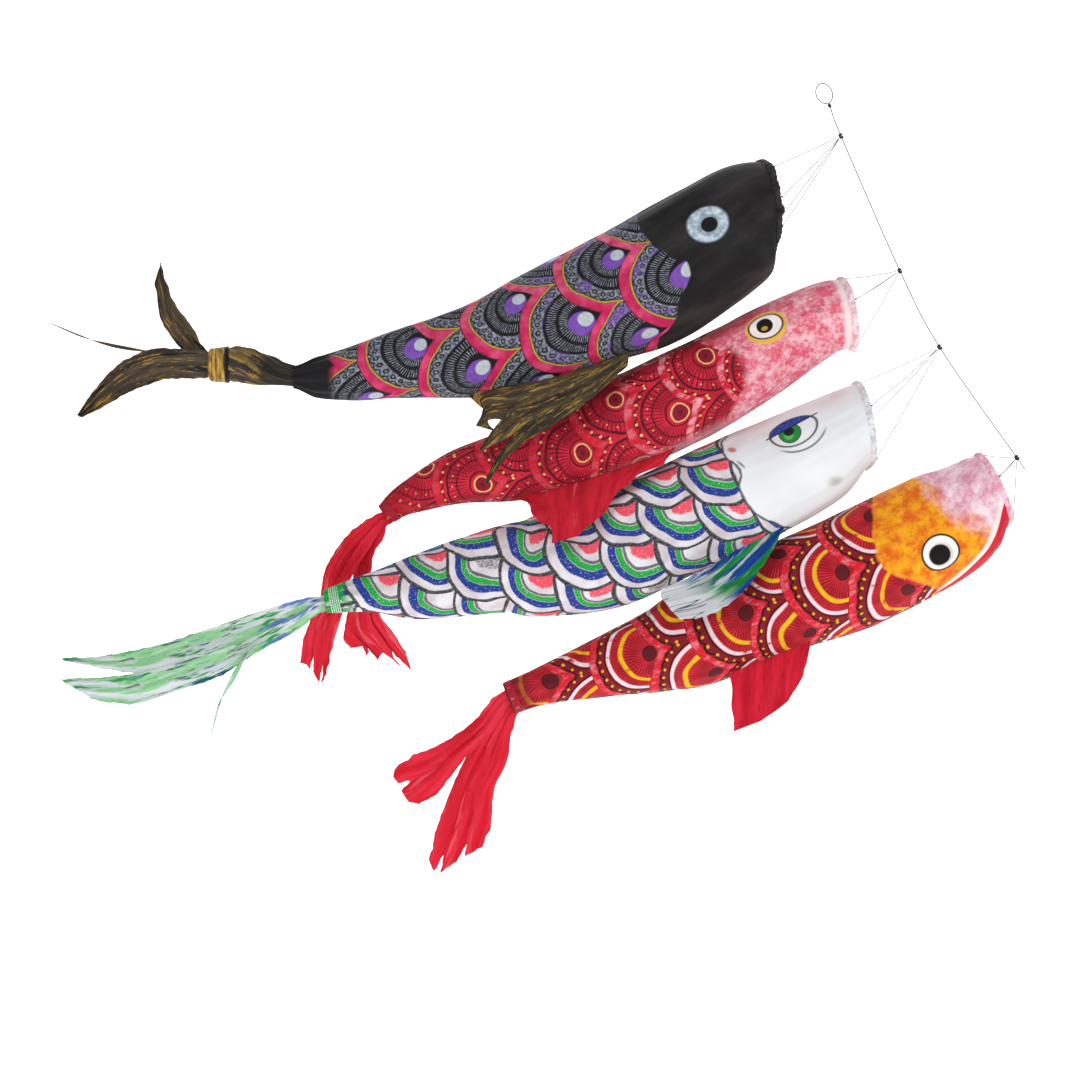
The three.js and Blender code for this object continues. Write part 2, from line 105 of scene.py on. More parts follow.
# Hem folds: (degrees from the top towards the near side, width in degrees, out, ahead).
# Fin edges run from front to rear. Tail sections run from the root to the tips.
CARPS = {
    "black": dict(
        lean=5, swing=14, feet=(-34, 84, 121, 225),
        spine=[
            (-77, -72, 46), (-102, -89, 59), (-181, -140, 65), (-241, -167, 61), (-301, -194, 57),
            (-361, -213, 46), (-441, -228, 33), (-501, -240, 24), (-548, -241, 14),
        ],
        ragged=0.35,
        folds=[(99, 6, 3.0, 3.5), (128, 9, 1.5, 2.0), (172, 10, 4.0, 2.0), (40, 12, 1.0, 1.5)],
        fin=dict(
            share=(0.36, 0.66), flare=0.68, waves=1.6, depth=2.0,
            strips=[
                [
                    [(-212, -216), (-214, -231)], [(-250, -230), (-254, -252)], [(-290, -243), (-294, -270)],
                    [(-330, -250), (-334, -284)], [(-358, -256), (-352, -286)],
                    [(-374, -261), (-355, -275), (-364, -292), (-346, -297)],
                ],
                [
                    [(-213, -217), (-216, -231)], [(-248, -236), (-258, -262)], [(-288, -252), (-298, -284)],
                    [(-326, -272), (-320, -297)], [(-346, -294), (-337, -306)], [(-361, -315), (-360, -317)],
                ],
                [
                    [(-214, -220), (-214, -231)], [(-250, -250), (-250, -264)], [(-286, -272), (-281, -287)],
                    [(-324, -300), (-313, -306)], [(-342, -321), (-334, -324)], [(-355, -348), (-353, -350)],
                ],
            ],
        ),
        tail_root=(-626, -229),
        stalk=[(-553, -240, 11), (-579, -233, 16), (-601, -229, 18), (-632, -229, 15)],
        taper=0.3, tie=(0.78, 1.0),
        lobes={
            "upper": dict(
                depth=4, slope=0.12, waves=2.2, folds=2.0,
                sections=[
                    [(8, -3), (8, 8)], [(-2, 0), (-2, 11)], [(-16, 6), (-14, 20)], [(-35, 17), (-22, 36)],
                    [(-55, 45), (-42, 63)], [(-60, 72), (-50, 83)], [(-62, 84), (-54, 93)],
                    [(-57, 102), (-56, 104)],
                ],
            ),
            "lower": dict(
                depth=-3, slope=-0.1, waves=3.0, folds=2.6,
                sections=[
                    [(8, 8), (8, -8)], [(-2, 11), (-2, -11)], [(-14, 15), (-14, -14)],
                    [(-36, 16), (-36, -14)],
                    [(-63, 15), (-56, -17)], [(-93, 1), (-86, -29)], [(-117, -24), (-108, -42)],
                    [(-135, -51), (-130, -53)],
                ],
            ),
        },
        strand=dict(
            points=[(-60, 13), (-72, 14), (-101, 19), (-129, 27), (-163, 41)],
            widths=(6.0, 0.8), depth=-6,
        ),
    ),
    "pink": dict(
        lean=10, swing=7, feet=(0, 72, 180, 285),
        spine=[
            (-54, -43, 35), (-81, -50, 35), (-141, -85, 42), (-221, -128, 47), (-301, -163, 44),
            (-381, -193, 36), (-441, -207, 26), (-491, -227, 16), (-517, -245, 9),
        ],
        ragged=0.12,
        folds=[(176, 12, 2.2, 1.0), (60, 10, 0.8, 1.0)],
        fin=dict(
            share=(0.41, 0.655), flare=0.75, waves=2.2, depth=2.0,
            edge=[
                (-238, -194), (-263, -205), (-284, -223), (-298, -244), (-325, -266), (-350, -274),
                (-345, -252), (-350, -239), (-363, -235),
            ],
        ),
        tail_root=(-517, -246), tie=(0.955, 0.985),
        lobes={
            "left": dict(
                strips=3, depth=3, slope=0.52, waves=2.5, folds=3.0,
                sections=[
                    [(8, 7), (8, -4)], [(0, 5), (2, -6)], [(-14, -1), (-3, -12)], [(-35, -15), (-12, -26)],
                    [(-50, -32), (-24, -44)], [(-64, -56), (-38, -68)], [(-70, -84), (-45, -98)],
                    [(-84, -114), (-54, -124)], [(-98, -150), (-84, -152), (-71, -175), (-62, -156)],
                ],
            ),
            "right": dict(
                strips=3, depth=7, slope=0.52, waves=2.5, folds=3.0,
                sections=[
                    [(8, 4), (8, -6)], [(0, 0), (2, -9)], [(-12, -12), (0, -15)], [(-22, -28), (-2, -23)],
                    [(-32, -50), (-12, -38)], [(-36, -74), (-15, -66)], [(-42, -100), (-8, -98)],
                    [(-46, -120), (4, -116)],
                    [(-50, -134), (-21, -129), (-20, -150), (-8, -134), (26, -165), (16, -130)],
                ],
            ),
        },
    ),
    "white": dict(
        lean=10, swing=5, feet=(-10, 68, 155, 262),
        spine=[
            (-77, -77, 41), (-122, -106, 50), (-202, -146, 56), (-282, -182, 56), (-342, -208, 57),
            (-402, -221, 51), (-442, -224, 43), (-522, -241, 32), (-572, -247, 19), (-618, -256, 10),
        ],
        ragged=0.08,
        folds=[(184, 9, 4.0, -5.0), (70, 12, 0.6, 0.8)],
        fin=dict(
            share=(0.19, 0.385), flare=0.95, waves=2, depth=2.0,
            strips=[
                [
                    [(-169, -179), (-157, -179)], [(-184, -190), (-166, -196)], [(-205, -204), (-181, -219)],
                    [(-235, -222), (-206, -249)], [(-262, -235), (-236, -268)],
                    [(-282, -243), (-281, -251), (-273, -263), (-263, -272)],
                ],
            ],
        ),
        tail_root=(-620, -257), tie=(0.965, 0.99),
        lobes={
            "upper": dict(
                depth=3, slope=0.03, waves=1.8, folds=2.0,
                sections=[
                    [(2, 8), (3, 1)], [(-6, 6), (-6, -4)], [(-26, 3), (-22, -13)],
                    [(-68, -10), (-62, -33)], [(-103, -22), (-98, -47)], [(-154, -39), (-150, -62)],
                    [(-190, -48), (-187, -71)], [(-231, -55), (-222, -67)], [(-265, -56), (-262, -59)],
                ],
            ),
            "lower": dict(
                depth=-2, slope=-0.03, waves=2.2, folds=2.4,
                sections=[
                    [(2, 2), (3, -8)], [(-8, 0), (-6, -12)], [(-30, -14), (-28, -29)],
                    [(-72, -36), (-66, -50)], [(-110, -48), (-104, -74)], [(-150, -60), (-148, -89)],
                    [(-190, -71), (-186, -101)], [(-225, -75), (-212, -100)], [(-263, -76), (-231, -97)],
                ],
            ),
        },
        strand=dict(
            points=[(-70, -46), (-80, -58), (-92, -79), (-103, -100), (-111, -130)],
            widths=(9.0, 1.2), depth=-9,
        ),
    ),
    "red": dict(
        lean=25, swing=3, feet=(-8, 75, 165, 275),
        spine=[
            (-24, -31, 37), (-48, -52, 48), (-82, -72, 56), (-162, -112, 58), (-242, -145, 53),
            (-322, -180, 49), (-362, -195, 41), (-422, -213, 29), (-482, -231, 18), (-513, -243, 15),
        ],
        ragged=0.15,
        folds=[(186, 10, 3.0, -6.0), (150, 10, 0.8, 1.0)],
        fin=dict(
            share=(0.425, 0.535), flare=0.5, waves=1.8, depth=2.2,
            edge=[(-217, -216), (-234, -244), (-262, -263), (-289, -273), (-285, -251)],
        ),
        tail_root=(-523, -250), tie=(0.965, 0.995),
        lobes={
            "left": dict(
                strips=2, depth=-4, slope=-0.12, waves=2.5, folds=3.0,
                sections=[
                    [(15, 18), (20, 4)], [(6, 15), (12, 2)], [(-6, 7), (5, -8)], [(-25, -15), (-8, -30)],
                    [(-50, -33), (-32, -52)], [(-76, -45), (-52, -78)],
                    [(-94, -49), (-106, -60), (-107, -74), (-89, -98), (-70, -103)],
                ],
            ),
            "right": dict(
                strips=3, depth=4, slope=0.12, waves=3.0, folds=3.4,
                sections=[
                    [(20, 8), (26, -4)], [(10, 4), (20, -8)], [(0, -4), (17, -16)], [(-17, -26), (13, -31)],
                    [(-36, -58), (9, -58)], [(-50, -90), (-3, -84)], [(-62, -122), (-6, -114)],
                    [(-70, -143), (-72, -157), (-65, -176), (-44, -160), (-26, -151), (-8, -140)],
                ],
            ),
        },
    ),
}


# ======================================================================================
# Geometry helpers
# ======================================================================================
def smoothstep(x, low=0.0, high=1.0):
    x = np.clip((x - low) / (high - low), 0.0, 1.0)
    return x * x * (3 - 2 * x)


def catmull(points, t):
    """A Catmull-Rom curve through the points; t runs from 0 to 1 with equal shares per segment."""
    points = np.asarray(points, float)
    last = len(points) - 1
    x = min(max(t, 0.0), 1.0) * last
    i = min(int(x), last - 1)
    w = x - i
    p1, p2 = points[i], points[i + 1]
    p0 = points[i - 1] if i > 0 else 2 * p1 - p2
    p3 = points[i + 2] if i + 2 <= last else 2 * p2 - p1
    cubic = (-p0 + 3 * p1 - 3 * p2 + p3) * w**3
    square = (2 * p0 - 5 * p1 + 4 * p2 - p3) * w**2
    return 0.5 * (2 * p1 + (p2 - p0) * w + square + cubic)


def ripple(x, y, z=0.0):
    """Smooth noise between about -1 and 1."""
    return noise.noise(Vector((x, y, z)))


def unit(vector):
    return vector / np.linalg.norm(vector)


def lengths_along(points):
    """For each point of a line, its distance from the first."""
    steps = np.linalg.norm(np.diff(points, axis=0), axis=1)
    return np.concatenate([[0.0], np.cumsum(steps)])


class Spine:
    """The curved middle of a sleeve, with its half height, as in the CAD model."""

    def __init__(self, stations, lean=None, swing=0):
        self.stations = np.asarray(stations, float)
        self.lean = None if lean is None else math.radians(lean)
        self.swing = math.radians(swing)
        self.shares = np.linspace(0, 1, SPINE_SAMPLES)
        self.lengths = lengths_along([catmull(self.stations, t)[:2] for t in self.shares])

    def centre(self, t):
        x, z, _ = catmull(self.stations, t)
        return np.array([x, 0.0, z])

    def half(self, t):
        return catmull(self.stations, t)[2]

    def along(self, t):
        """Distance from the mouth, in millimetres."""
        return float(np.interp(t, self.shares, self.lengths))

    def share(self, distance):
        return float(np.interp(distance, self.lengths, self.shares))

    def side(self, t):
        flat = 1.0 if self.lean is None else smoothstep(t, 0, 2 * MOUTH_SETTLE)
        return 1 - FLATTENING * flat

    def up(self, t):
        run = unit(self.centre(min(t + 0.002, 1)) - self.centre(max(t - 0.002, 0)))
        square = np.array([run[2], 0.0, -run[0]])
        if self.lean is None:
            return square
        hoop = np.array([-math.sin(self.lean), 0.0, math.cos(self.lean)])
        return unit(hoop + (square - hoop) * smoothstep(t, 0, MOUTH_SETTLE))

    def near(self, t):
        turn = self.swing * (1 - smoothstep(t, 0, 2 * MOUTH_SETTLE))
        return NEAR * math.cos(turn) + np.cross(self.up(t), NEAR) * math.sin(turn)

    def ring(self, t):
        """The middle of the section at t, and its ways up and sideways for each millimetre."""
        return self.centre(t), self.up(t), self.near(t) * self.side(t)

    def place(self, t, reach, angle):
        """The place at an angle from the top towards the near side."""
        centre, up, near = self.ring(t)
        return centre + up * (reach * math.cos(angle)) + near * (reach * math.sin(angle))

    def belly(self, t, angle, gap):
        """The place on the belly, some degrees towards the near side."""
        return self.place(t, self.half(t) + gap, math.pi - math.radians(angle))


def new_mesh(name, points, faces, material, uvs=None):
    """A smooth mesh object. uvs maps a layer's name to one (u, v) for each corner of each face."""
    mesh = bpy.data.meshes.new(name)
    mesh.from_pydata([tuple(p) for p in points], [], faces)
    for layer_name, corners in (uvs or {}).items():
        layer = mesh.uv_layers.new(name=layer_name)
        layer.data.foreach_set("uv", np.asarray(corners, np.float32).ravel())
    mesh.polygons.foreach_set("use_smooth", [True] * len(mesh.polygons))
    mesh.update()
    mesh.materials.append(material)
    obj = bpy.data.objects.new(name, mesh)
    bpy.context.scene.collection.objects.link(obj)
    return obj


def grid_faces(rows, columns, closed=False, looped=False):
    """Quads of a grid of points, row by row. A closed grid joins its last column to its first, and
    a looped one its last row too."""
    faces = []
    for i in range(rows if looped else rows - 1):
        for j in range(columns if closed else columns - 1):
            below, right = (i + 1) % rows, (j + 1) % columns
            corners = ((i, j), (below, j), (below, right), (i, right))
            faces.append(tuple(row * columns + column for row, column in corners))
    return faces


def grid_corners(values):
    """The (u, v) of each corner of grid_faces, from a table of values that has one row or column
    more than a looped or closed grid."""
    corners = []
    for i in range(len(values) - 1):
        for j in range(len(values[0]) - 1):
            corners += [values[i][j], values[i + 1][j], values[i + 1][j + 1], values[i][j + 1]]
    return corners


def ring_mesh(name, grid, place, maps, material, looped=False, capped=False):
    """A mesh of closed rings: place(i, angle) is a point, and each of maps gives its (u, v)."""
    rows, columns = grid
    turns = [TAU * j / columns for j in range(columns + 1)]
    points = [place(i, turn) for i in range(rows) for turn in turns[:-1]]
    faces = grid_faces(rows, columns, True, looped)
    uvs = {}
    for layer, uv in maps.items():
        uvs[layer] = grid_corners([[uv(i, turn) for turn in turns] for i in range(rows + looped)])
    if capped:
        ends = (0, (rows - 1) * columns)
        faces += [tuple(range(first, first + columns)) for first in ends]
        for corners in uvs.values():
            corners += [(0.0, 0.0)] * (2 * columns)
    obj = new_mesh(name, points, faces, material, uvs)
    if capped:
        mend_normals(obj)
    return obj


def mend_normals(obj):
    """Turns every face outwards."""
    work = bmesh.new()
    work.from_mesh(obj.data)
    bmesh.ops.recalc_face_normals(work, faces=work.faces)
    work.to_mesh(obj.data)
    work.free()


def tube(name, path, radius, sides, material):
    """A closed tube along a path, in metres; the radius may be one number or one for each place."""
    path = np.asarray(path, float)
    radii = np.broadcast_to(radius, len(path))
    along = lengths_along(path)
    sideways = []
    side = np.array([0.0, 1.0, 0.0])
    for run in np.gradient(path, axis=0):
        run = unit(run)
        side = unit(side - run * side.dot(run))
        sideways.append((side, np.cross(run, side)))

    def place(i, turn):
        side, other = sideways[i]
        return path[i] + (side * math.cos(turn) + other * math.sin(turn)) * radii[i]

    maps = {PATTERN_MAP: lambda i, turn: (along[i], turn * radii[i])}
    return ring_mesh(name, (len(path), sides), place, maps, material, capped=True)


def thicken(obj, thickness):
    """Gives a sheet its thickness in metres, half on each side."""
    solid = obj.modifiers.new("thickness", "SOLIDIFY")
    solid.thickness = thickness
    solid.offset = 0.0
    solid.use_even_offset = False
    bpy.context.view_layer.update()
    graph = bpy.context.evaluated_depsgraph_get()
    mesh = bpy.data.meshes.new_from_object(obj.evaluated_get(graph))
    obj.modifiers.clear()
    obj.data = mesh
    return obj


def cloth_area(obj):
    return sum(polygon.area for polygon in obj.data.polygons)


# ======================================================================================
# Shader fields: sockets with arithmetic
# ======================================================================================
def operation(name):
    return lambda self, *others: self.math(name, *others)


class Field:
    """One number of a material, as an output socket that can be added, compared and so on."""

    def __init__(self, tree, socket):
        self.tree = tree
        self.socket = socket

    def math(self, name, *others):
        node = self.tree.nodes.new("ShaderNodeMath")
        node.operation = name
        for slot, value in zip(node.inputs, (self, *others)):
            connect(self.tree, slot, value)
        return Field(self.tree, node.outputs[0])

    __add__ = operation("ADD")
    __sub__ = operation("SUBTRACT")
    __mul__ = operation("MULTIPLY")
    __truediv__ = operation("DIVIDE")
    floor = operation("FLOOR")
    ceil = operation("CEIL")
    fraction = operation("FRACT")
    size = operation("ABSOLUTE")
    root = operation("SQRT")
    sine = operation("SINE")
    above = operation("GREATER_THAN")
    below = operation("LESS_THAN")
    highest = operation("MAXIMUM")
    angle = operation("ARCTAN2")

    def __rsub__(self, other):
        return (self * -1.0) + other

    def ramp(self, low, high):
        """0 at low and 1 at high, smooth between; low may be the larger."""
        node = self.tree.nodes.new("ShaderNodeMapRange")
        node.interpolation_type = "SMOOTHSTEP"
        connect(self.tree, node.inputs["Value"], self)
        turned = low > high
        node.inputs["From Min"].default_value = high if turned else low
        node.inputs["From Max"].default_value = low if turned else high
        node.inputs["To Min"].default_value = 1.0 if turned else 0.0
        node.inputs["To Max"].default_value = 0.0 if turned else 1.0
        return Field(self.tree, node.outputs["Result"])

    def band(self, low, high, soft):
        """1 between low and high, with soft edges."""
        return self.ramp(low - soft, low + soft) * self.ramp(high + soft, high - soft)

    def choose(self, when, other):
        """This field where `when` is 0, the other where it is 1."""
        return self + when * (other - self)


def connect(tree, slot, value):
    """Puts a field, a socket, a number or a colour's hex code on an input."""
    if isinstance(value, Field):
        tree.links.new(value.socket, slot)
    elif hasattr(value, "is_output"):
        tree.links.new(value, slot)
    elif isinstance(value, str):
        slot.default_value = (*linear_colour(value), 1.0)
    else:
        slot.default_value = value


def linear_colour(code):
    """A linear colour from an sRGB hex code."""
    channels = [int(code[i : i + 2], 16) / 255 for i in (0, 2, 4)]
    return tuple(c / 12.92 if c <= 0.04045 else ((c + 0.055) / 1.055) ** 2.4 for c in channels)


class Paint:
    """A material being painted: its node tree, its place on the cloth and the paint laid so far."""

    def __init__(self, name):
        self.material = bpy.data.materials.new(name)
        self.material.use_nodes = True
        self.tree = self.material.node_tree
        self.tree.nodes.clear()
        self.colour = None
        pattern = self.node("ShaderNodeUVMap")
        pattern.uv_map = PATTERN_MAP
        parts = self.node("ShaderNodeSeparateXYZ")
        self.tree.links.new(pattern.outputs[0], parts.inputs[0])
        self.s = Field(self.tree, parts.outputs[0]) * MM_PER_METRE
        self.v = Field(self.tree, parts.outputs[1]) * MM_PER_METRE

    def node(self, kind):
        return self.tree.nodes.new(kind)

    def vector(self, x, y, z=0.0):
        node = self.node("ShaderNodeCombineXYZ")
        for slot, value in zip(node.inputs, (x, y, z)):
            connect(self.tree, slot, value)
        return node.outputs[0]

    def noise(self, scale, detail=2.0, at=None, rough=0.5):
        """Noise from 0 to 1; scale is per millimetre of cloth."""
        node = self.node("ShaderNodeTexNoise")
        node.inputs["Scale"].default_value = scale
        node.inputs["Detail"].default_value = detail
        node.inputs["Roughness"].default_value = rough
        place = self.vector(self.s, self.v) if at is None else self.vector(*at)
        self.tree.links.new(place, node.inputs["Vector"])
        return Field(self.tree, node.outputs["Fac"])

    def shake(self, scale, detail, amount, at=None):
        """Noise about zero, `amount` from end to end."""
        return (self.noise(scale, detail, at) - 0.5) * amount

    def random(self, x, y, z=0.0):
        node = self.node("ShaderNodeTexWhiteNoise")
        node.noise_dimensions = "3D"
        self.tree.links.new(self.vector(x, y, z), node.inputs["Vector"])
        return Field(self.tree, node.outputs["Value"])

    def curve(self, value, points, low, high):
        """A smooth curve through points (x, y); value runs over x, and y lies from low to high."""
        start, end = points[0][0], points[-1][0]
        node = self.node("ShaderNodeFloatCurve")
        line = node.mapping.curves[0]
        while len(line.points) < len(points):
            line.points.new(0.5, 0.5)
        for handle, (x, y) in zip(line.points, points):
            handle.location = ((x - start) / (end - start), (y - low) / (high - low))
        node.mapping.update()
        connect(self.tree, node.inputs["Value"], (value - start) / (end - start))
        return Field(self.tree, node.outputs[0]) * (high - low) + low

    def mix(self, below, above, mask):
        node = self.node("ShaderNodeMix")
        node.data_type = "RGBA"
        connect(self.tree, node.inputs["Factor"], mask)
        connect(self.tree, node.inputs[6], below)
        connect(self.tree, node.inputs[7], above)
        return node.outputs[2]

    def mottled(self, dark, pale, scale, detail, low=None, high=None):
        """Two colours mixed by noise: all dark where it is under `low`, all pale over `high`."""
        grain = self.noise(scale, detail)
        return self.mix(dark, pale, grain if low is None else grain.ramp(low, high))

    def lay(self, above, mask):
        """Puts more paint over what is laid already."""
        self.colour = self.mix(self.colour, above, mask)

    def finish(self, roughness, bump, strength, height, glow=CLOTH_GLOW):
        """The surface that shows the paint, with a little light shining through the cloth."""
        surface = self.node("ShaderNodeBsdfPrincipled")
        connect(self.tree, surface.inputs["Base Color"], self.colour)
        connect(self.tree, surface.inputs["Roughness"], roughness)
        surface.inputs["Sheen Weight"].default_value = CLOTH_SHEEN
        surface.inputs["Sheen Roughness"].default_value = 0.5
        surface.inputs["Specular IOR Level"].default_value = CLOTH_SPECULAR
        relief = self.node("ShaderNodeBump")
        relief.inputs["Strength"].default_value = strength
        relief.inputs["Distance"].default_value = height
        connect(self.tree, relief.inputs["Height"], bump)
        self.tree.links.new(relief.outputs[0], surface.inputs["Normal"])
        last = surface
        if glow:
            through = self.node("ShaderNodeBsdfTranslucent")
            connect(self.tree, through.inputs["Color"], self.colour)
            last = self.node("ShaderNodeMixShader")
            last.inputs[0].default_value = glow
            self.tree.links.new(surface.outputs[0], last.inputs[1])
            self.tree.links.new(through.outputs[0], last.inputs[2])
        out = self.node("ShaderNodeOutputMaterial")
        self.tree.links.new(last.outputs[0], out.inputs["Surface"])
        return self.material


def weave(paint):
    """The cloth's plain weave, as a height."""
    along = (paint.s * (TAU / WEAVE_PITCH)).sine()
    across = (paint.v * (TAU / WEAVE_PITCH)).sine()
    return along * across


# ======================================================================================
# Painted scales
# ======================================================================================
class Scale:
    """The scale that shows at each point: a staggered lattice of discs, the mouth's side on top.

    `tall` squeezes the discs across the sleeve, `sink` moves the lattice down towards the tail, and
    in a stacked lattice each disc also covers the one below it.
    """

    def __init__(
        self, paint, start, pitch, middle, half_row, radius, wobble, tall=1.0, sink=0.0, stacked=False
    ):
        sideways = (paint.v + 300.0, paint.s)
        s = paint.s + paint.shake(0.018, 1.0, wobble) - start
        v = paint.v + paint.shake(0.021, 1.0, wobble, sideways) - middle + paint.s.ramp(250.0, 400.0) * sink
        first = ((s - radius) / pitch).ceil()
        picks = []
        for step in range(3):
            column = first + float(step)
            odd = column - (column * 0.5).floor() * 2.0
            row_v = v - odd * half_row
            dx = s - column * pitch
            chord = (radius * radius - dx * dx).highest(0.0).root() if stacked else half_row
            row = ((row_v + chord) / (2.0 * half_row)).floor()
            dy = (row_v - row * (2.0 * half_row)) * tall
            distance = (dx * dx + dy * dy).root()
            picks.append((distance.below(radius), dx, dy, distance, column, row))
        _, *chosen = picks[2]
        for covered, *pick in (picks[1], picks[0]):
            chosen = [a.choose(covered, b) for a, b in zip(chosen, pick)]
        self.dx, self.dy, distance, self.column, self.row = chosen
        self.radius = radius
        self.reach = distance / radius
        self.turn = self.dy.angle(self.dx)

    def from_middle(self, s=0.0, v=0.0):
        """Distance in millimetres from a place beside the scale's middle."""
        x, y = self.dx - s, self.dy - v
        return (x * x + y * y).root()

    def spokes(self, paint, count, width):
        """Radial strokes, `count` to the full turn."""
        wave = (self.turn * float(count) + paint.shake(0.22, 2.0, 0.35) * 6.0).sine()
        return wave.ramp(1 - width - 0.25, 1 - width + 0.25)

    def beads(self, count, ring, size, soft):
        """Dots of `size` millimetres on a ring at `ring` of the scale's radius."""
        cell = (self.turn * (count / TAU)).fraction() - 0.5
        across = cell * (TAU / count) * (ring * self.radius)
        off = (self.reach - ring) * self.radius
        return (across * across + off * off).root().ramp(size + soft, size - soft)

    def scallop(self, reach, count, ring, half, soft):
        """A wavy line that stands on a ring, with `count` arcs to the half turn."""
        arcs = (self.turn * count).sine().size() * 0.05
        return (arcs + ring - reach).band(-half, half, soft)


def disc(paint, s, v, radius, soft=0.8, stretch=1.0, lean=0.0):
    """A painted ellipse: `stretch` times longer along its own axis, which leans by `lean` degrees."""
    turn = math.radians(lean)
    x, y = paint.s - float(s), paint.v - float(v)
    u = (x * math.cos(turn) + y * math.sin(turn)) / stretch
    w = y * math.cos(turn) - x * math.sin(turn)
    return (u * u + w * w).root().ramp(radius + soft, radius - soft)


def outline(paint, s, v, outer, inner, *shape):
    """The ring between two painted ellipses."""
    return (disc(paint, s, v, outer, *shape) - disc(paint, s, v, inner, *shape)).highest(0.0)


def dab(paint, *spots):
    """Ellipses laid one over another: (colour, strength, then what disc takes)."""
    for colour, strength, *spot in spots:
        paint.lay(colour, disc(paint, *spot) * strength)


# ======================================================================================
# Sleeve materials
# ======================================================================================
def past_gill(paint, points):
    """How far behind the gill each place lies; `points` give its edge for each place round."""
    return paint.s + paint.shake(0.09, 2.0, 5.0) - paint.curve(paint.v, points, 60.0, 180.0)


def cloth_surface(paint, ridge, rough):
    """The weave, the strokes' ridges and a little unevenness, common to all the painted cloth."""
    grain = weave(paint) * 0.10 + paint.noise(1.1, 3.0) * 0.35
    return paint.finish(paint.shake(0.05, 3.0, 0.25) + rough, grain + ridge * 0.5, 0.35, 0.0006)


def black_sleeve_material():
    paint = Paint("black_sleeve_paint")
    scale = Scale(
        paint, start=105, pitch=54, middle=-11, half_row=46, radius=66.0, wobble=12, tall=1.158, sink=22
    )
    reach = scale.reach + paint.shake(0.1, 3.0, 0.03)
    ink = "0C0B10"
    greys = paint.mottled("4E525E", "9CA0AC", 0.3, 3.0, 0.35, 0.7)

    paint.colour = paint.mix(ink, greys, scale.spokes(paint, 62, 0.75) * reach.band(0.26, 0.39, 0.012))
    paint.lay(greys, scale.spokes(paint, 84, 0.65) * reach.band(0.445, 0.57, 0.01))
    paint.lay(greys, reach.band(0.625, 0.80, 0.01))
    rings = scale.beads(30, 0.70, 2.9, 0.5) - scale.beads(30, 0.70, 1.3, 0.5)
    arcs = scale.scallop(reach, 15.0, 0.745, 0.014, 0.008)
    doodles = rings.highest(0.0).highest(arcs) * reach.band(0.63, 0.80, 0.008)
    paint.lay(ink, doodles * 0.95)
    wisps = paint.noise(0.5, 4.0, rough=0.7).ramp(0.56, 0.66) * reach.band(0.2, 0.82, 0.01)
    paint.lay(ink, wisps * 0.7)
    violet = paint.mottled("55308C", "8F5CC0", 0.2, 3.0)
    tint = paint.noise(0.035, 2.0).ramp(0.5, 0.62) * reach.band(0.6, 0.8, 0.02) * paint.s.ramp(300.0, 180.0)
    paint.lay(violet, tint * 0.6)
    paint.lay(violet, scale.from_middle(5.0, -3.0).ramp(13.5, 12.0))
    paint.lay(paint.mottled("8F989F", "D4DBDE", 0.25, 2.0), scale.from_middle().ramp(7.8, 6.6))

    pinks = paint.mottled("BC1450", "DE4C7E", 0.06, 4.0, 0.4, 0.75)
    # Painted highlight: the pink bands are painted paler towards the top of the sleeve.
    paler = (paint.v + 10.0).ramp(0.0, 90.0)
    pinks = paint.mix(pinks, "F094AC", paler * paint.noise(0.1, 3.0).ramp(0.3, 0.7) * 0.6)
    paint.lay(pinks, reach.ramp(0.845, 0.86))
    paint.lay(paint.mottled("8E6A26", "D6AE54", 0.3, 2.0), reach.band(0.815, 0.845, 0.008))
    paint.lay(ink, reach.band(0.985, 1.02, 0.01) * 0.8)
    paint.lay("100E12", paint.s.ramp(462.0, 474.0))
    black_head(paint)
    return cloth_surface(paint, reach.band(0.82, 1.0, 0.02) + doodles * 0.5, 0.66)


def black_head(paint):
    gill = [
        (-100, 155), (-75, 153), (-54, 136), (-33, 124), (-24, 112), (-6, 102), (6, 111), (37, 122),
        (75, 117), (100, 109),
    ]
    head = past_gill(paint, gill).ramp(1.2, -1.2)
    # Painted sheen: paler streaks and greenish patches are painted into the black head's colour as the
    # highlights of its satin paint.
    painted_sheen = paint.noise(0.012, 4.0, (paint.s * 0.5, paint.v * 1.4 + 70.0), 0.6)
    blacks = paint.mix("0D0A0C", "3E3638", painted_sheen.ramp(0.42, 0.72) * 0.85)
    olive = paint.noise(0.02, 3.0, (paint.s + 500.0, paint.v)).ramp(0.5, 0.8)
    blacks = paint.mix(blacks, "222E26", olive * 0.6)
    paint.lay(blacks, head)
    white = paint.mix("7E93A6", "D2DEE8", paint.noise(0.16, 4.0, rough=0.75).ramp(0.32, 0.68))
    paint.lay(white, disc(paint, 67, 15.5, 18.4, 1.0, 1.06, 30))
    paint.lay("59626C", outline(paint, 67, 15.5, 19.2, 17.6, 0.6, 1.06, 30) * 0.6)
    dab(paint, ("6B7782", 0.5, 67, 14.5, 10.6, 1.6), ("08090E", 1.0, 66, 14, 7.8, 0.7))


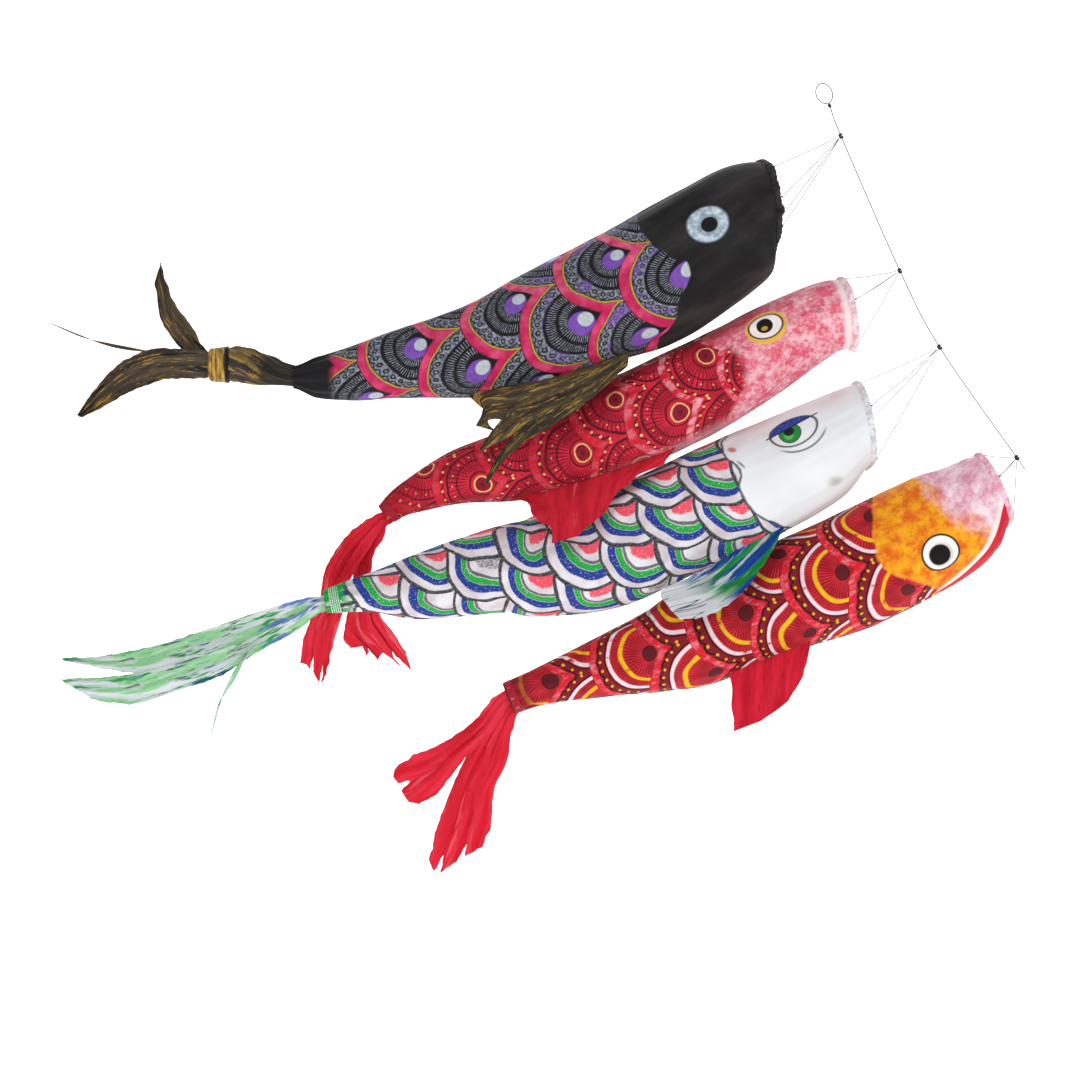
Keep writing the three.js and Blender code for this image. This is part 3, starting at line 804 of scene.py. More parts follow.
def pink_sleeve_material():
    paint = Paint("pink_sleeve_paint")
    scale = Scale(paint, start=198, pitch=51, middle=-13, half_row=39, radius=53.0, wobble=12)
    reach = scale.reach + paint.shake(0.12, 3.0, 0.04)
    maroon = "560818"
    reds = paint.mottled("A80C26", "DC2440", 0.05, 4.0, 0.3, 0.75)
    paint.colour = paint.mix(reds, maroon, scale.spokes(paint, 44, 0.4) * reach.band(0.30, 0.66, 0.02) * 0.85)
    for low, high, soft in ((0.235, 0.27, 0.015), (0.47, 0.50, 0.012), (0.66, 0.71, 0.012)):
        paint.lay(maroon, reach.band(low, high, soft))
    paint.lay(maroon, scale.scallop(reach, 12.0, 0.77, 0.018, 0.01))
    gold = paint.mottled("D89A48", "F8E09A", 0.3, 2.0)
    paint.lay(gold, scale.beads(26, 0.80, 1.3, 0.4))
    paint.lay(gold, scale.beads(17, 0.58, 0.9, 0.4) * 0.7)
    paint.lay("8A0C28", reach.ramp(0.17, 0.15))
    paint.lay(gold, reach.band(0.15, 0.178, 0.01))
    paint.lay("2C0610", reach.ramp(0.06, 0.04) * 0.6)
    blush = paint.noise(0.1, 4.0, (paint.s * 0.5, paint.v), 0.7).ramp(0.42, 0.66)
    paler = paint.s.ramp(300.0, 160.0).highest(paint.v.ramp(-25.0, -55.0)) * 0.75 + 0.1
    paint.lay(paint.mix("CC1430", "F6B4C0", blush * paler), reach.ramp(0.845, 0.875))
    paint.lay("7A0A1E", reach.band(0.985, 1.02, 0.01) * 0.7)
    paint.lay("A00C1C", paint.s.ramp(455.0, 500.0) * 0.8)
    paint.lay("F2B0BC", paint.v.ramp(-38.0, -62.0) * paint.s.ramp(330.0, 240.0) * 0.6)
    pink_head(paint)
    return cloth_surface(paint, reach.band(0.84, 1.0, 0.02), 0.74)


def pink_head(paint):
    gill = [(-70, 150), (-45, 152), (-20, 128), (0, 118), (20, 122), (45, 140), (70, 128)]
    head = past_gill(paint, gill).ramp(6.0, -6.0)
    mottle = paint.noise(0.055, 5.0, rough=0.75)
    fine = paint.noise(0.2, 4.0, (paint.s + 90.0, paint.v), 0.7)
    pinks = paint.mix("DE5C74", "F2C4CC", (mottle * 0.6 + fine * 0.4).ramp(0.42, 0.62))
    stains = paint.noise(0.03, 4.0, (paint.s, paint.v + 900.0), 0.7)
    pinks = paint.mix(pinks, "C92A4A", stains.ramp(0.56, 0.72) * 0.75)
    back = paint.v.ramp(26.0, 44.0) * paint.s.ramp(50.0, 90.0)
    pinks = paint.mix(pinks, "C8102E", back * mottle.ramp(0.3, 0.6) * 0.9)
    paint.lay(pinks, head)
    paint.lay("F4E4E6", paint.s.ramp(13.0, 7.0) * 0.9)
    dab(
        paint,
        ("E8B84C", 1.0, 81, 22.0, 18.5, 1.0, 1.15, 12),
        ("3A1A1C", 1.0, 81, 23.0, 14.5, 0.7, 1.28, 14),
        ("FBF0EE", 1.0, 81, 23.0, 13.0, 0.7, 1.28, 14),
        ("120A0C", 1.0, 81.5, 24.0, 8.4, 0.6),
        ("C89A40", 1.0, 83, 21.5, 2.6, 0.7, 1.3, 20),
        ("7A1C2C", 0.5, 30.0, 8.0, 2.2, 0.8, 2.0, 20),
    )


def white_sleeve_material():
    paint = Paint("white_sleeve_paint")
    scale = Scale(paint, start=150, pitch=51, middle=-9, half_row=23, radius=47.0, wobble=20, stacked=True)
    reach = scale.reach + paint.shake(0.09, 2.0, 0.06)
    crayon = paint.noise(0.5, 4.0, (paint.s * 0.6, paint.v), 0.75)
    cover = crayon.ramp(0.30, 0.45)
    white = paint.mottled("CFC4CA", "E8E4EA", 0.04, 3.0, 0.35, 0.65)
    blue = paint.mix("162C80", "2C54B8", crayon.ramp(0.4, 0.75))
    green = paint.mix("0E9A36", "34C454", crayon.ramp(0.4, 0.75))
    grey = paint.mix("2E2E34", "74747C", crayon.ramp(0.42, 0.7))

    paint.colour = paint.mix(white, blue, reach.band(0.62, 0.775, 0.012) * cover)
    paint.lay(green, reach.band(0.49, 0.615, 0.012) * cover)
    paint.lay(grey, reach.band(0.415, 0.475, 0.012) * cover * 0.9)
    inner = paint.random(scale.column, scale.row, 4.7)
    centre = (scale.from_middle(2.0) + paint.shake(0.15, 2.0, 7.0)).ramp(13.0, 11.0) * cover
    paint.lay("EE3450", centre * inner.above(0.3) * 0.92)
    paint.lay(grey, centre * inner.below(0.2) * crayon.ramp(0.4, 0.55) * 0.8)
    paint.lay(grey, reach.band(0.925, 1.02, 0.015) * crayon.ramp(0.22, 0.34))
    paint.lay(green, paint.s.ramp(545.0, 562.0) * paint.noise(0.08, 2.0).ramp(0.35, 0.5))
    white_head(paint, crayon)
    white_eye(paint, crayon)
    return cloth_surface(paint, reach.band(0.9, 1.0, 0.03) * 0.6, 0.8)


def white_head(paint, crayon):
    gill = [
        (-80, 112), (-49, 127), (-31, 139), (-13, 145), (3, 145), (22, 137), (40, 143), (60, 140),
        (80, 130),
    ]
    behind = past_gill(paint, gill)
    clean = paint.mottled("DDE2E6", "F2F4F5", 0.02, 3.0)
    rosy = paint.noise(0.014, 3.0, (paint.s, paint.v + 150.0)).ramp(0.45, 0.75)
    clean = paint.mix(clean, "DACFCC", rosy * paint.v.ramp(-5.0, 40.0) * 0.9)
    paint.lay(clean, behind.ramp(1.0, -1.0))
    paint.lay("3C4048", behind.band(-1.6, 1.2, 1.0) * crayon.ramp(0.25, 0.4) * 0.9)
    dab(paint, ("8C8C78", 0.55, 56, -35, 5.0, 4.0, 1.5, 30))


def white_eye(paint, crayon):
    lid_edge = paint.v - 39.0 + (paint.s - 72.0) * 0.04
    on_lid = lid_edge.ramp(-0.8, 0.8)
    lid = paint.mix("1F2F8C", "4A66C4", crayon.ramp(0.4, 0.7))
    paint.lay(lid, disc(paint, 72, 34, 16.4, 0.7, 1.42, 6) * on_lid)
    eye = 1.0 - on_lid
    dab(
        paint,
        ("1E8A3A", eye, 76, 33, 10.5, 0.8),
        ("6CC070", eye * 0.8, 78, 31, 4.5, 1.4),
        ("141A20", eye, 76, 35, 5.2, 0.8),
    )
    paint.lay("20282C", outline(paint, 76, 33, 11.2, 10.0, 0.6) * eye)
    paint.lay("22242C", outline(paint, 72, 34, 17.5, 15.8, 0.7, 1.42, 6) * 0.9)
    paint.lay("181A24", lid_edge.band(-0.8, 0.8, 0.6) * disc(paint, 72, 39, 17.5, 1.0, 1.6))
    below = disc(paint, 69, 29, 20.0, 0.7, 1.4, 6) - disc(paint, 69, 30.5, 19.4, 0.7, 1.4, 6)
    paint.lay("4A4C54", below.highest(0.0) * paint.v.ramp(23.0, 15.0) * 0.8)
    dab(paint, ("C25A50", 0.8, 134, 46, 3.2, 1.2, 1.6, 60), ("50525A", 0.7, 133, 25, 1.3, 0.6, 4.0, 70))


def red_sleeve_material():
    paint = Paint("red_sleeve_paint")
    scale = Scale(paint, start=127, pitch=52, middle=50, half_row=47, radius=62.0, wobble=14)
    reach = scale.reach
    dark = "3A060E"
    reds = paint.mottled("B00C20", "DC2838", 0.06, 4.0, 0.3, 0.75)
    paint.colour = paint.mix(reds, dark, scale.spokes(paint, 46, 0.4) * reach.band(0.14, 0.42, 0.02) * 0.85)
    paint.lay(dark, scale.spokes(paint, 84, 0.4) * reach.band(0.49, 0.62, 0.012) * 0.8)
    paint.lay("5A0F1A", reach.ramp(0.115, 0.095))
    paint.lay("1E0508", reach.band(0.105, 0.125, 0.008))
    yellow = paint.mottled("D8980C", "FCD020", 0.25, 2.0)
    broken = paint.noise(0.07, 3.0).ramp(0.3, 0.42)
    paint.lay(yellow, reach.band(0.435, 0.50, 0.01) * broken)
    paint.lay(paint.mottled("DCB8C4", "FAF2F4", 0.25, 2.0), reach.band(0.63, 0.69, 0.01) * broken)
    paint.lay(paint.mottled("6A0A18", "981428", 0.1, 3.0), reach.band(0.71, 0.87, 0.015))
    paint.lay("20060C", reach.band(0.70, 0.725, 0.008))
    paint.lay("20060C", scale.scallop(reach, 13.0, 0.81, 0.016, 0.01))
    paint.lay(yellow, scale.beads(30, 0.80, 1.5, 0.5))
    blush = paint.noise(0.12, 4.0, (paint.s * 0.5, paint.v), 0.75).ramp(0.46, 0.7)
    paint.lay(paint.mix("D8182E", "F4A4B0", blush * 0.6), reach.ramp(0.875, 0.895))
    paint.lay("7A0A18", reach.band(0.985, 1.02, 0.01) * 0.7)
    paint.lay("8C1020", paint.s.ramp(500.0, 520.0) * 0.8)
    red_head(paint)
    return cloth_surface(paint, reach.band(0.86, 1.0, 0.02), 0.74)


def red_head(paint):
    gill = [
        (-100, 92), (-75, 98), (-41, 114), (-14, 138), (-2, 142), (14, 139), (45, 127), (62, 121),
        (100, 110),
    ]
    head = past_gill(paint, gill).ramp(2.0, -2.0)
    mottle = paint.noise(0.05, 5.0, rough=0.75)
    dabs = paint.noise(0.11, 4.0, (paint.s + 60.0, paint.v), 0.7)
    oranges = paint.mix("E0600C", "F6AC18", mottle.ramp(0.38, 0.62))
    oranges = paint.mix(oranges, "C4561A", dabs.ramp(0.56, 0.72) * 0.7)
    oranges = paint.mix(oranges, "F8D060", dabs.ramp(0.42, 0.3) * 0.5)
    paint.lay(oranges, head)
    mouth = paint.mix("DE92AC", "F9E2EA", mottle.ramp(0.35, 0.65))
    top = paint.v.ramp(-40.0, 30.0)
    paint.lay(mouth, (paint.s + paint.shake(0.04, 3.0, 44.0) - top * 26.0).ramp(46.0, 24.0))
    lip_top = paint.curve(paint.s, [(15, -25), (25, -33), (57, -59), (79, -71), (100, -80)], -85.0, -15.0)
    reaches = paint.s.ramp(104.0, 94.0)
    paint.lay("FBE9E6", (paint.v - lip_top - 9.0).ramp(2.0, -2.0) * reaches * 0.9)
    paint.lay("D0102A", (paint.v - lip_top).ramp(1.0, -1.0) * reaches)
    dab(
        paint,
        ("241418", 1.0, 83.5, -21, 19.4, 0.7),
        ("F7F4F2", 1.0, 83.5, -21, 17.4, 0.7),
        ("B4A8A4", 0.5, 84, -23, 12.6, 1.2),
        ("0D090A", 1.0, 85, -22.5, 10.6, 0.7),
    )


# ======================================================================================
# Hem, thread, wire, fin and tail materials
# ======================================================================================
def hem_material(carp, pale, deep, rough):
    paint = Paint(f"{carp}_hem_paint")
    paint.colour = paint.mix(deep, pale, paint.noise(0.08, 4.0, rough=0.7).ramp(0.35, 0.65))
    return cloth_surface(paint, paint.noise(0.3, 3.0), rough)


def thread_material(name, dark, pale, twist=2.2):
    paint = Paint(name)
    strands = ((paint.s + paint.v * 0.6) * (TAU / twist)).sine()
    paint.colour = paint.mix(dark, pale, strands.ramp(-0.6, 0.9))
    return paint.finish(0.7, strands, 0.4, 0.0003, glow=0.0)


def band_material():
    paint = Paint("tie_band_gold")
    brush = paint.noise(0.3, 3.0, (paint.s, paint.v * 0.2))
    paint.colour = paint.mix("7A5A20", "CDA24A", brush.ramp(0.35, 0.65))
    paint.lay("1C1614", (paint.s * (TAU / 3.2) + brush * 2.0).sine().ramp(0.8, 0.97) * 0.8)
    paint.lay("0C0A0C", paint.s.ramp(3.6, 3.0))
    return cloth_surface(paint, brush, 0.55)


def wire_material():
    material = bpy.data.materials.new("hoop_wire_steel")
    material.use_nodes = True
    surface = material.node_tree.nodes["Principled BSDF"]
    surface.inputs["Base Color"].default_value = (0.45, 0.45, 0.43, 1.0)
    surface.inputs["Metallic"].default_value = 0.9
    surface.inputs["Roughness"].default_value = 0.38
    return material


def streaked(name, base, second, strokes, shift):
    """Cloth with brush strokes along it. strokes: (colour, how much noise it needs, scale)."""
    paint = Paint(name)

    def along(scale, place):
        return paint.noise(scale, 4.0, (paint.s * 0.14 + (place + shift), paint.v), 0.65)

    paint.colour = paint.mix(base, second, along(0.07, 0.0).ramp(0.38, 0.62))
    for order, (code, need, scale) in enumerate(strokes):
        paint.lay(code, along(scale, 90.0 * (order + 1)).ramp(need, need + 0.07))
    return paint, along(0.3, 700.0)


def finished_cloth(paint, ridge, glow, rough):
    bump = ridge + weave(paint) * 0.1 + paint.noise(0.7, 3.0) * 0.4
    return paint.finish(rough, bump, 0.4, 0.0007, glow)


def white_fin_material():
    paint = Paint("white_fin_paint")

    def across(scale, detail, shift, stretch, rough=0.5):
        return paint.noise(scale, detail, (paint.v + shift, paint.s * stretch), rough)

    strokes = across(0.11, 4.0, 0.0, 0.14, 0.7)
    blue = paint.mix("0E3A98", "2C68C8", strokes.ramp(0.42, 0.7))
    green = paint.mix("0C8A38", "2CC05C", strokes.ramp(0.42, 0.7))
    paint.colour = paint.mix(blue, green, across(0.07, 2.0, 60.0, 0.1).ramp(0.47, 0.53))
    paint.lay("E4E8EC", across(0.16, 3.0, 300.0, 0.1).ramp(0.55, 0.62) * 0.8)
    reach = paint.s + (across(0.09, 2.0, 0.0, 0.3) - 0.5) * 50.0
    paint.lay("E6EAEE", reach.ramp(84.0, 116.0))
    lines = across(0.09, 1.0, 20.0, 0.08).band(0.485, 0.5, 0.006)
    paint.lay("5A6472", lines * reach.ramp(70.0, 100.0))
    return finished_cloth(paint, strokes, 0.3, 0.75)


def stalk_material(bronze):
    paint, ridge = streaked("black_stalk_paint", "332C28", "6A5428", bronze, 70.0)
    paint.lay("121013", paint.s.ramp(34.0, 20.0) * 0.85)
    return finished_cloth(paint, ridge, 0.05, 0.55)


def fin_and_tail_materials():
    """Each look: base, second colour, strokes, shift of the strokes, light let through, roughness."""
    bronze = [("9C7832", 0.54, 0.24), ("1C1816", 0.56, 0.12), ("C09A48", 0.61, 0.40)]
    red_marks = [("EE5064", 0.60, 0.08), ("A81024", 0.62, 0.16)]
    tissue = [("F06070", 0.58, 0.07), ("F08020", 0.67, 0.22), ("20080C", 0.68, 0.19)]
    leaf = [
        ("A0D8A4", 0.47, 0.07), ("1CA844", 0.53, 0.09), ("6A8CC8", 0.58, 0.09),
        ("1C44A0", 0.575, 0.10), ("5E646E", 0.58, 0.16), ("F0F2F4", 0.62, 0.2),
    ]
    looks = {
        "black_fin": ("2C2622", "54462C", bronze, 10.0, 0.05, 0.55),
        "black_tail": ("332C2A", "544634", bronze, 40.0, 0.06, 0.55),
        "pink_fin": ("CC1430", "E4283E", red_marks, 20.0, 0.3, 0.75),
        "pink_tail": ("D4142E", "E83048", tissue, 55.0, 0.35, 0.75),
        "white_tail": ("D4DADE", "E8ECEE", leaf, 75.0, 0.25, 0.8),
        "red_fin": ("CC1230", "E62844", red_marks, 95.0, 0.3, 0.75),
        "red_tail": ("E01C36", "EC3C54", tissue, 130.0, 0.35, 0.75),
    }
    materials = {"white_fin": white_fin_material(), "black_stalk": stalk_material(bronze)}
    for name, (*streaks, glow, rough) in looks.items():
        materials[name] = finished_cloth(*streaked(f"{name}_paint", *streaks), glow, rough)
    return materials


# ======================================================================================
# Sleeves, hems and ties
# ======================================================================================
def joint_place(name):
    """Where a joint of the frame is; a carp turns and droops about its knot."""
    joint = next(j for j in frame["joints"] if j["name"] == name)
    return np.array(joint["pos_m"], float)


def seed_of(carp, first, step):
    """A number of the carp's own, so that no two are folded alike."""
    return first + step * list(CARPS).index(carp)


def sleeve_relief(t, s, girth, angle, seed):
    """How far the cloth stands out of the plain tube, in millimetres."""
    x, y = math.cos(angle), math.sin(angle)
    dents = 1.8 * ripple(s / 75, 1.6 * x, 1.6 * y + seed)
    folds = 1.3 * ripple(s / 230 + 7, 5.0 * x, 5.0 * y + seed)
    crumple = 0.5 * ripple(s / 22, 5.5 * x + seed, 5.5 * y)
    mouth = math.exp(-s / 16) * 1.2 * ripple(9.0 * x, 9.0 * y, seed)
    wave = math.sin(9 * angle + 2.5 * ripple(s / 60, seed, 3.0))
    gather = smoothstep(t, 0.8, 1.0) * min(0.11 * girth, 1.8) * wave
    seam = 0.8 * math.exp(-((math.sin(angle) / 0.06) ** 2))
    settle = smoothstep(s, 2.0, 14.0)
    return ((dents + folds + crumple) * min(girth / 40, 1.0) + mouth + seam) * settle + gather


def make_sleeve(carp, spec, spine, origin, material):
    start = spine.share(1.5)
    seed = seed_of(carp, 11.0, 11.0)
    rows = []
    for share in np.linspace(0, 1, SLEEVE_GRID[0]):
        t = start + (1 - start) * share
        drawn_in = 1 - spec.get("taper", 0.0) * smoothstep(t, 0.93, 1.0)
        rows.append((t, share, spine.along(t), spine.half(t), drawn_in, spine.ring(t)))

    def place(i, angle):
        t, _, s, half, drawn_in, (centre, up, near) = rows[i]
        reach = (half + sleeve_relief(t, s, half, angle, seed)) * drawn_in
        return origin + (centre + up * (reach * math.cos(angle)) + near * (reach * math.sin(angle))) * MM

    def unwrapped(i, angle):
        return 0.01 + OUTSIDE_U * rows[i][1], 0.01 + 0.98 * angle / TAU

    def pattern(i, angle):
        height = math.pi / 2 - angle if angle <= math.pi else angle - 1.5 * math.pi
        return rows[i][2] * MM, rows[i][3] * height * MM

    maps = {BAKE_MAP: unwrapped, PATTERN_MAP: pattern}
    obj = ring_mesh(f"{carp}_cloth_sleeve", SLEEVE_GRID, place, maps, material)
    area, outer_faces = cloth_area(obj), len(obj.data.polygons)
    thicken(obj, SLEEVE_CLOTH * MM)
    part_the_lining(obj, outer_faces)
    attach(obj, f"{carp}_carp")
    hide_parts(f"{carp}_sleeve_near", f"{carp}_sleeve_far")


def part_the_lining(obj, outer_faces):
    """Moves the lining's bake map beside the outside's, so that the two don't share a place."""
    layer = obj.data.uv_layers[BAKE_MAP]
    for polygon in obj.data.polygons:
        if polygon.index >= outer_faces:
            for corner in polygon.loop_indices:
                u, v = layer.data[corner].uv
                layer.data[corner].uv = (LINING_START + (u - 0.01) / OUTSIDE_U * LINING_U, v)


def loose_fold(folds, angle):
    """How far a loose fold of the hem stands out and ahead at this angle, in millimetres."""
    out = ahead = 0.0
    for at, width, height, forward in folds:
        off = math.degrees(angle) - at
        bump = math.exp(-((off / width) ** 2))
        out += height * bump * (1 + 0.3 * ripple(off / 4, at, 0.5))
        ahead += forward * bump
    return out, ahead


def make_hem(carp, spec, spine, origin, material):
    """The cloth turned over the hoop, puckered by its stitches, with loose folds hanging from it."""
    centre, up, near = spine.ring(0)
    reach = spine.half(0)
    forward = np.cross(up, unit(near))
    seed = seed_of(carp, 3.0, 3.0)

    def place(i, turn):
        angle = TAU * i / HEM_GRID[0]
        out = up * math.cos(angle) + near * math.sin(angle)
        ragged = spec["ragged"] * ripple(4 * out[0], 4 * out[1] + seed, 4 * out[2])
        radius = HEM_RADIUS * (1 + 0.10 * math.sin(46 * angle) + ragged)
        loose, ahead = loose_fold(spec["folds"], angle)
        outward = radius * math.sin(turn) * 0.85 + loose * max(math.sin(turn), 0)
        ahead_by = -radius * math.cos(turn) * 1.15 + ahead * max(math.sin(turn), 0)
        return origin + (centre + out * (reach + outward) + forward * ahead_by) * MM

    def pattern(i, turn):
        return TAU * i / HEM_GRID[0] * reach * MM, turn * HEM_RADIUS * MM

    obj = ring_mesh(f"{carp}_cloth_hem", HEM_GRID, place, {PATTERN_MAP: pattern}, material, looped=True)
    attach(obj, f"{carp}_carp")
    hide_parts(f"{carp}_mouth_hem")


def make_tie(carp, spec, spine, origin, material):
    """A thread wound round the sleeve's narrow end."""
    start, end = spec["tie"]
    steps = TIE_TURNS * TIE_STEPS
    gap = TIE_THREAD + 0.3
    path, radii = [], []
    for i in range(steps + 1):
        t = start + (end - start) * i / steps
        reach = spine.half(t) + gap + 0.15 * ripple(i / 20, start, gap)
        path.append(origin + spine.place(t, reach, TAU * i / TIE_STEPS) * MM)
        radii.append(TIE_THREAD * MM * min(1.0, 0.3 + 12 * min(i, steps - i) / (steps + 1)))
    obj = tube(f"{carp}_wound_tie", path, radii, 7, material)
    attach(obj, f"{carp}_carp")
    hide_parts(f"{carp}_tail_tie")


# ======================================================================================
# Fins and tails: loose cloth lofted through cross sections
# ======================================================================================
def spread(points, count):
    """`count` places spaced evenly along a line through the points."""
    points = np.asarray(points, float)
    lengths = lengths_along(points)
    at = np.linspace(0.0, lengths[-1], count)
    return np.column_stack([np.interp(at, lengths, column) for column in points.T])


def loft(sections, rows, columns):
    """A grid of places, smooth from each cross section to the next."""
    stack = np.stack([spread(section, columns) for section in sections])
    flat = stack.reshape(len(sections), -1)
    return np.stack([catmull(flat, i / (rows - 1)).reshape(columns, -1) for i in range(rows)])


def distances(grid):
    """For each place of a grid: the distance from the first row, and from the middle column."""
    down = np.linalg.norm(np.diff(grid, axis=0), axis=2)
    along = np.vstack([np.zeros(grid.shape[1]), np.cumsum(down, axis=0)])
    wide = np.linalg.norm(np.diff(grid, axis=1), axis=2)
    across = np.hstack([np.zeros((grid.shape[0], 1)), np.cumsum(wide, axis=1)])
    return along, across - across[:, [grid.shape[1] // 2]]


def flutter(grid, waves, depth, seed):
    """Folds that run from the root and open out, crumples, and a frayed outline, in millimetres."""
    along, across = distances(grid)
    rows, columns = along.shape
    longest = along.max()
    for i in range(rows):
        for j in range(columns):
            s, v = along[i, j], j / (columns - 1)
            loose = smoothstep(s / longest, 0.0, 0.35)
            bend = 0.55 * ripple(s / 60, v * 2.0, seed)
            fold = math.sin(TAU * waves * (v + 0.12 * bend) + 1.7 * seed)
            broad = ripple(s / 70, v * 1.5, seed + 9)
            crumple = ripple(s / 13, across[i, j] / 9, seed + 4)
            fine = ripple(s / 5, across[i, j] / 4, seed + 6)
            lift = depth * (0.75 * fold + 0.8 * broad) * (0.25 + 0.75 * loose) + 0.9 * crumple + 0.25 * fine
            grid[i, j, 1] += lift * (0.3 + 0.7 * loose)
            rim = smoothstep(abs(2 * v - 1), 0.8, 1.0) + smoothstep(i / (rows - 1), 0.92, 1.0)
            grid[i, j, 0] += rim * 1.2 * ripple(s / 9, seed, v)
            grid[i, j, 2] += rim * 1.2 * ripple(s / 7, seed + 3, v)
    return grid


def cloth_from_grids(name, grids, origin, material, thickness=FIN_CLOTH):
    """One cloth piece of one or more grids of places, each with its own stretch of the pattern.
    Gives the piece, and its area and length before it was thickened."""
    points, faces, corners, lengths = [], [], [], []
    for order, grid in enumerate(grids):
        along, across = distances(grid)
        table = np.stack([along, across + 70.0 * order], axis=2) * MM
        faces += [tuple(len(points) + k for k in face) for face in grid_faces(*along.shape)]
        points += [origin + place * MM for place in grid.reshape(-1, 3)]
        corners += grid_corners(table)
        lengths.append(float(along[-1].mean()))
    obj = new_mesh(name, points, faces, material, {PATTERN_MAP: corners})
    area = cloth_area(obj)
    return thicken(obj, thickness * MM), area, max(lengths) * MM


def fin_seam(fin, spine):
    """The seam's line from front to rear, and the way down that is square to it. The seam's last
    places stay at its rear end, where the rear of the free edge fans out."""
    start, end = fin["share"]
    shares = [start + (end - start) * min(i / 15, 1.0) for i in range(20)]
    seam = [spine.belly(t, SEAM_ANGLE, 0.4) for t in shares]
    run = seam[-1] - seam[0]
    down = np.array([-run[2], 0.0, run[0]]) / math.hypot(run[0], run[2])
    return seam, -down if down[2] > 0 else down


def hung(fin, seam, down, places):
    """Places (x, z) of a fin, put nearer the viewer the further they hang below the seam."""
    middle = (seam[0][1] + seam[-1][1]) / 2
    below = [max(float((np.array([x, 0.0, z]) - seam[0]).dot(down)), 0.0) for x, z in places]
    return [np.array([x, middle - fin["flare"] * deep, z]) for (x, z), deep in zip(places, below)]


def fin_grids(fin, seam, down):
    """The fin's strips, or one sheet from the seam to the free edge."""
    grids = []
    for order, strip in enumerate(fin.get("strips", [])):
        grid = loft([hung(fin, seam, down, section) for section in strip], *STRIP_GRID)
        grid[:, :, 1] -= 1.5 * order * smoothstep(np.linspace(0, 1, STRIP_GRID[0]), 0.0, 0.3)[:, None]
        grids.append(grid)
    if grids:
        return grids
    columns = FIN_GRID[1]
    edge = spread(hung(fin, seam, down, fin["edge"]), columns)
    picks = np.round(np.linspace(0, len(seam) - 1, columns)).astype(int)
    first = smooth_line(np.array(seam)[picks])
    middle = first * 0.5 + edge * 0.5
    middle[:, 1] -= 4.0
    return [loft([first, middle, edge], *FIN_GRID)]


def smooth_line(line):
    for _ in range(6):
        line[1:-1] = (line[:-2] + 2 * line[1:-1] + line[2:]) / 4
    return line


def make_fin(carp, spec, spine, origin, material):
    fin = spec["fin"]
    seam, down = fin_seam(fin, spine)
    seed = seed_of(carp, 5.0, 1.0)
    grids = fin_grids(fin, seam, down)
    grids = [flutter(grid, fin["waves"], fin["depth"], seed + k) for k, grid in enumerate(grids)]
    obj, area, length = cloth_from_grids(f"{carp}_cloth_fin", grids, origin, material)
    hinge = joint_place(f"{carp}_fin_lift")
    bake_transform(obj)
    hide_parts(f"{carp}_fin")


def tail_root(spec):
    x, z = spec["tail_root"]
    return np.array([x, 0.0, z])


def tail_grid(spec, lobe):
    """The lobe's places from its cross sections, which are measured from the tail's root."""
    sections = []
    for section in lobe["sections"]:
        flat = spread(section, LOBE_GRID[1])
        depth = lobe["depth"] + lobe["slope"] * np.hypot(flat[:, 0], flat[:, 1])
        sections.append(tail_root(spec) + np.column_stack([flat[:, 0], depth, flat[:, 1]]))
    return loft(sections, *LOBE_GRID)


def cut_strips(grid, count, seed):
    """Cuts a tail into overlapping strips that part below the root and end in points."""
    rows, columns, _ = grid.shape
    share = np.linspace(0, 1, rows)[:, None, None]
    loose = smoothstep(share, 0.12, 0.6)
    strips = []
    for k in range(count):
        low = max(round((k - 0.15) / count * (columns - 1)), 0)
        high = min(round((k + 1.15) / count * (columns - 1)), columns - 1)
        strip = grid[:, low : high + 1].copy()
        middle = strip.mean(axis=1, keepdims=True)
        width = 1.05 - 0.10 * loose * (1 + ripple(k + 0.5, seed)) - 0.4 * smoothstep(share, 0.9, 1.0)
        strip = middle + (strip - middle) * width
        strip[:, :, 1] += (loose * 6.0 * ripple(1.7 * k + 0.4, seed, 2.0) + 1.2 * (k % 2))[:, :, 0]
        strips.append(strip)
    return strips


def make_lobe(carp, spec, name, lobe, origin, material):
    seed = seed_of(carp, 20.0, 3) + len(name)
    grid = tail_grid(spec, lobe)
    strips = cut_strips(grid, lobe["strips"], seed) if "strips" in lobe else [grid]
    waves = lobe["waves"] / len(strips)
    strips = [flutter(strip, waves, lobe["folds"], seed + k) for k, strip in enumerate(strips)]
    obj, area, length = cloth_from_grids(f"{carp}_cloth_{name}", strips, origin, material)
    if carp == "black":
        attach(obj, "black_tail")
    else:
        root = tail_root(spec) * MM + origin
        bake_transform(obj)
    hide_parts(f"{carp}_tail_{name}")


def make_strand(carp, spec, origin, material):
    """A thin twisted strip that trails from the tail."""
    points, depth = spec["strand"]["points"], spec["strand"]["depth"]
    grid = []
    for share in np.linspace(0, 1, 70):
        x, z = catmull(points, share)
        run = catmull(points, min(share + 0.02, 1)) - catmull(points, max(share - 0.02, 0))
        square = unit(np.array([-run[1], 0.0, run[0]]))
        twist = 2.2 * share + 0.8 * math.sin(9 * share)
        half = np.interp(share, [0, 1], spec["strand"]["widths"]) / 2
        middle = tail_root(spec) + np.array([x, depth, z])
        lean = square * math.cos(twist) + NEAR * math.sin(twist)
        grid.append([middle - lean * half, middle, middle + lean * half])
    name = f"{carp}_trailing_strip"
    obj, _, _ = cloth_from_grids(name, [np.array(grid)], origin, material, STRAND_CLOTH)
    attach(obj, f"{carp}_tail")


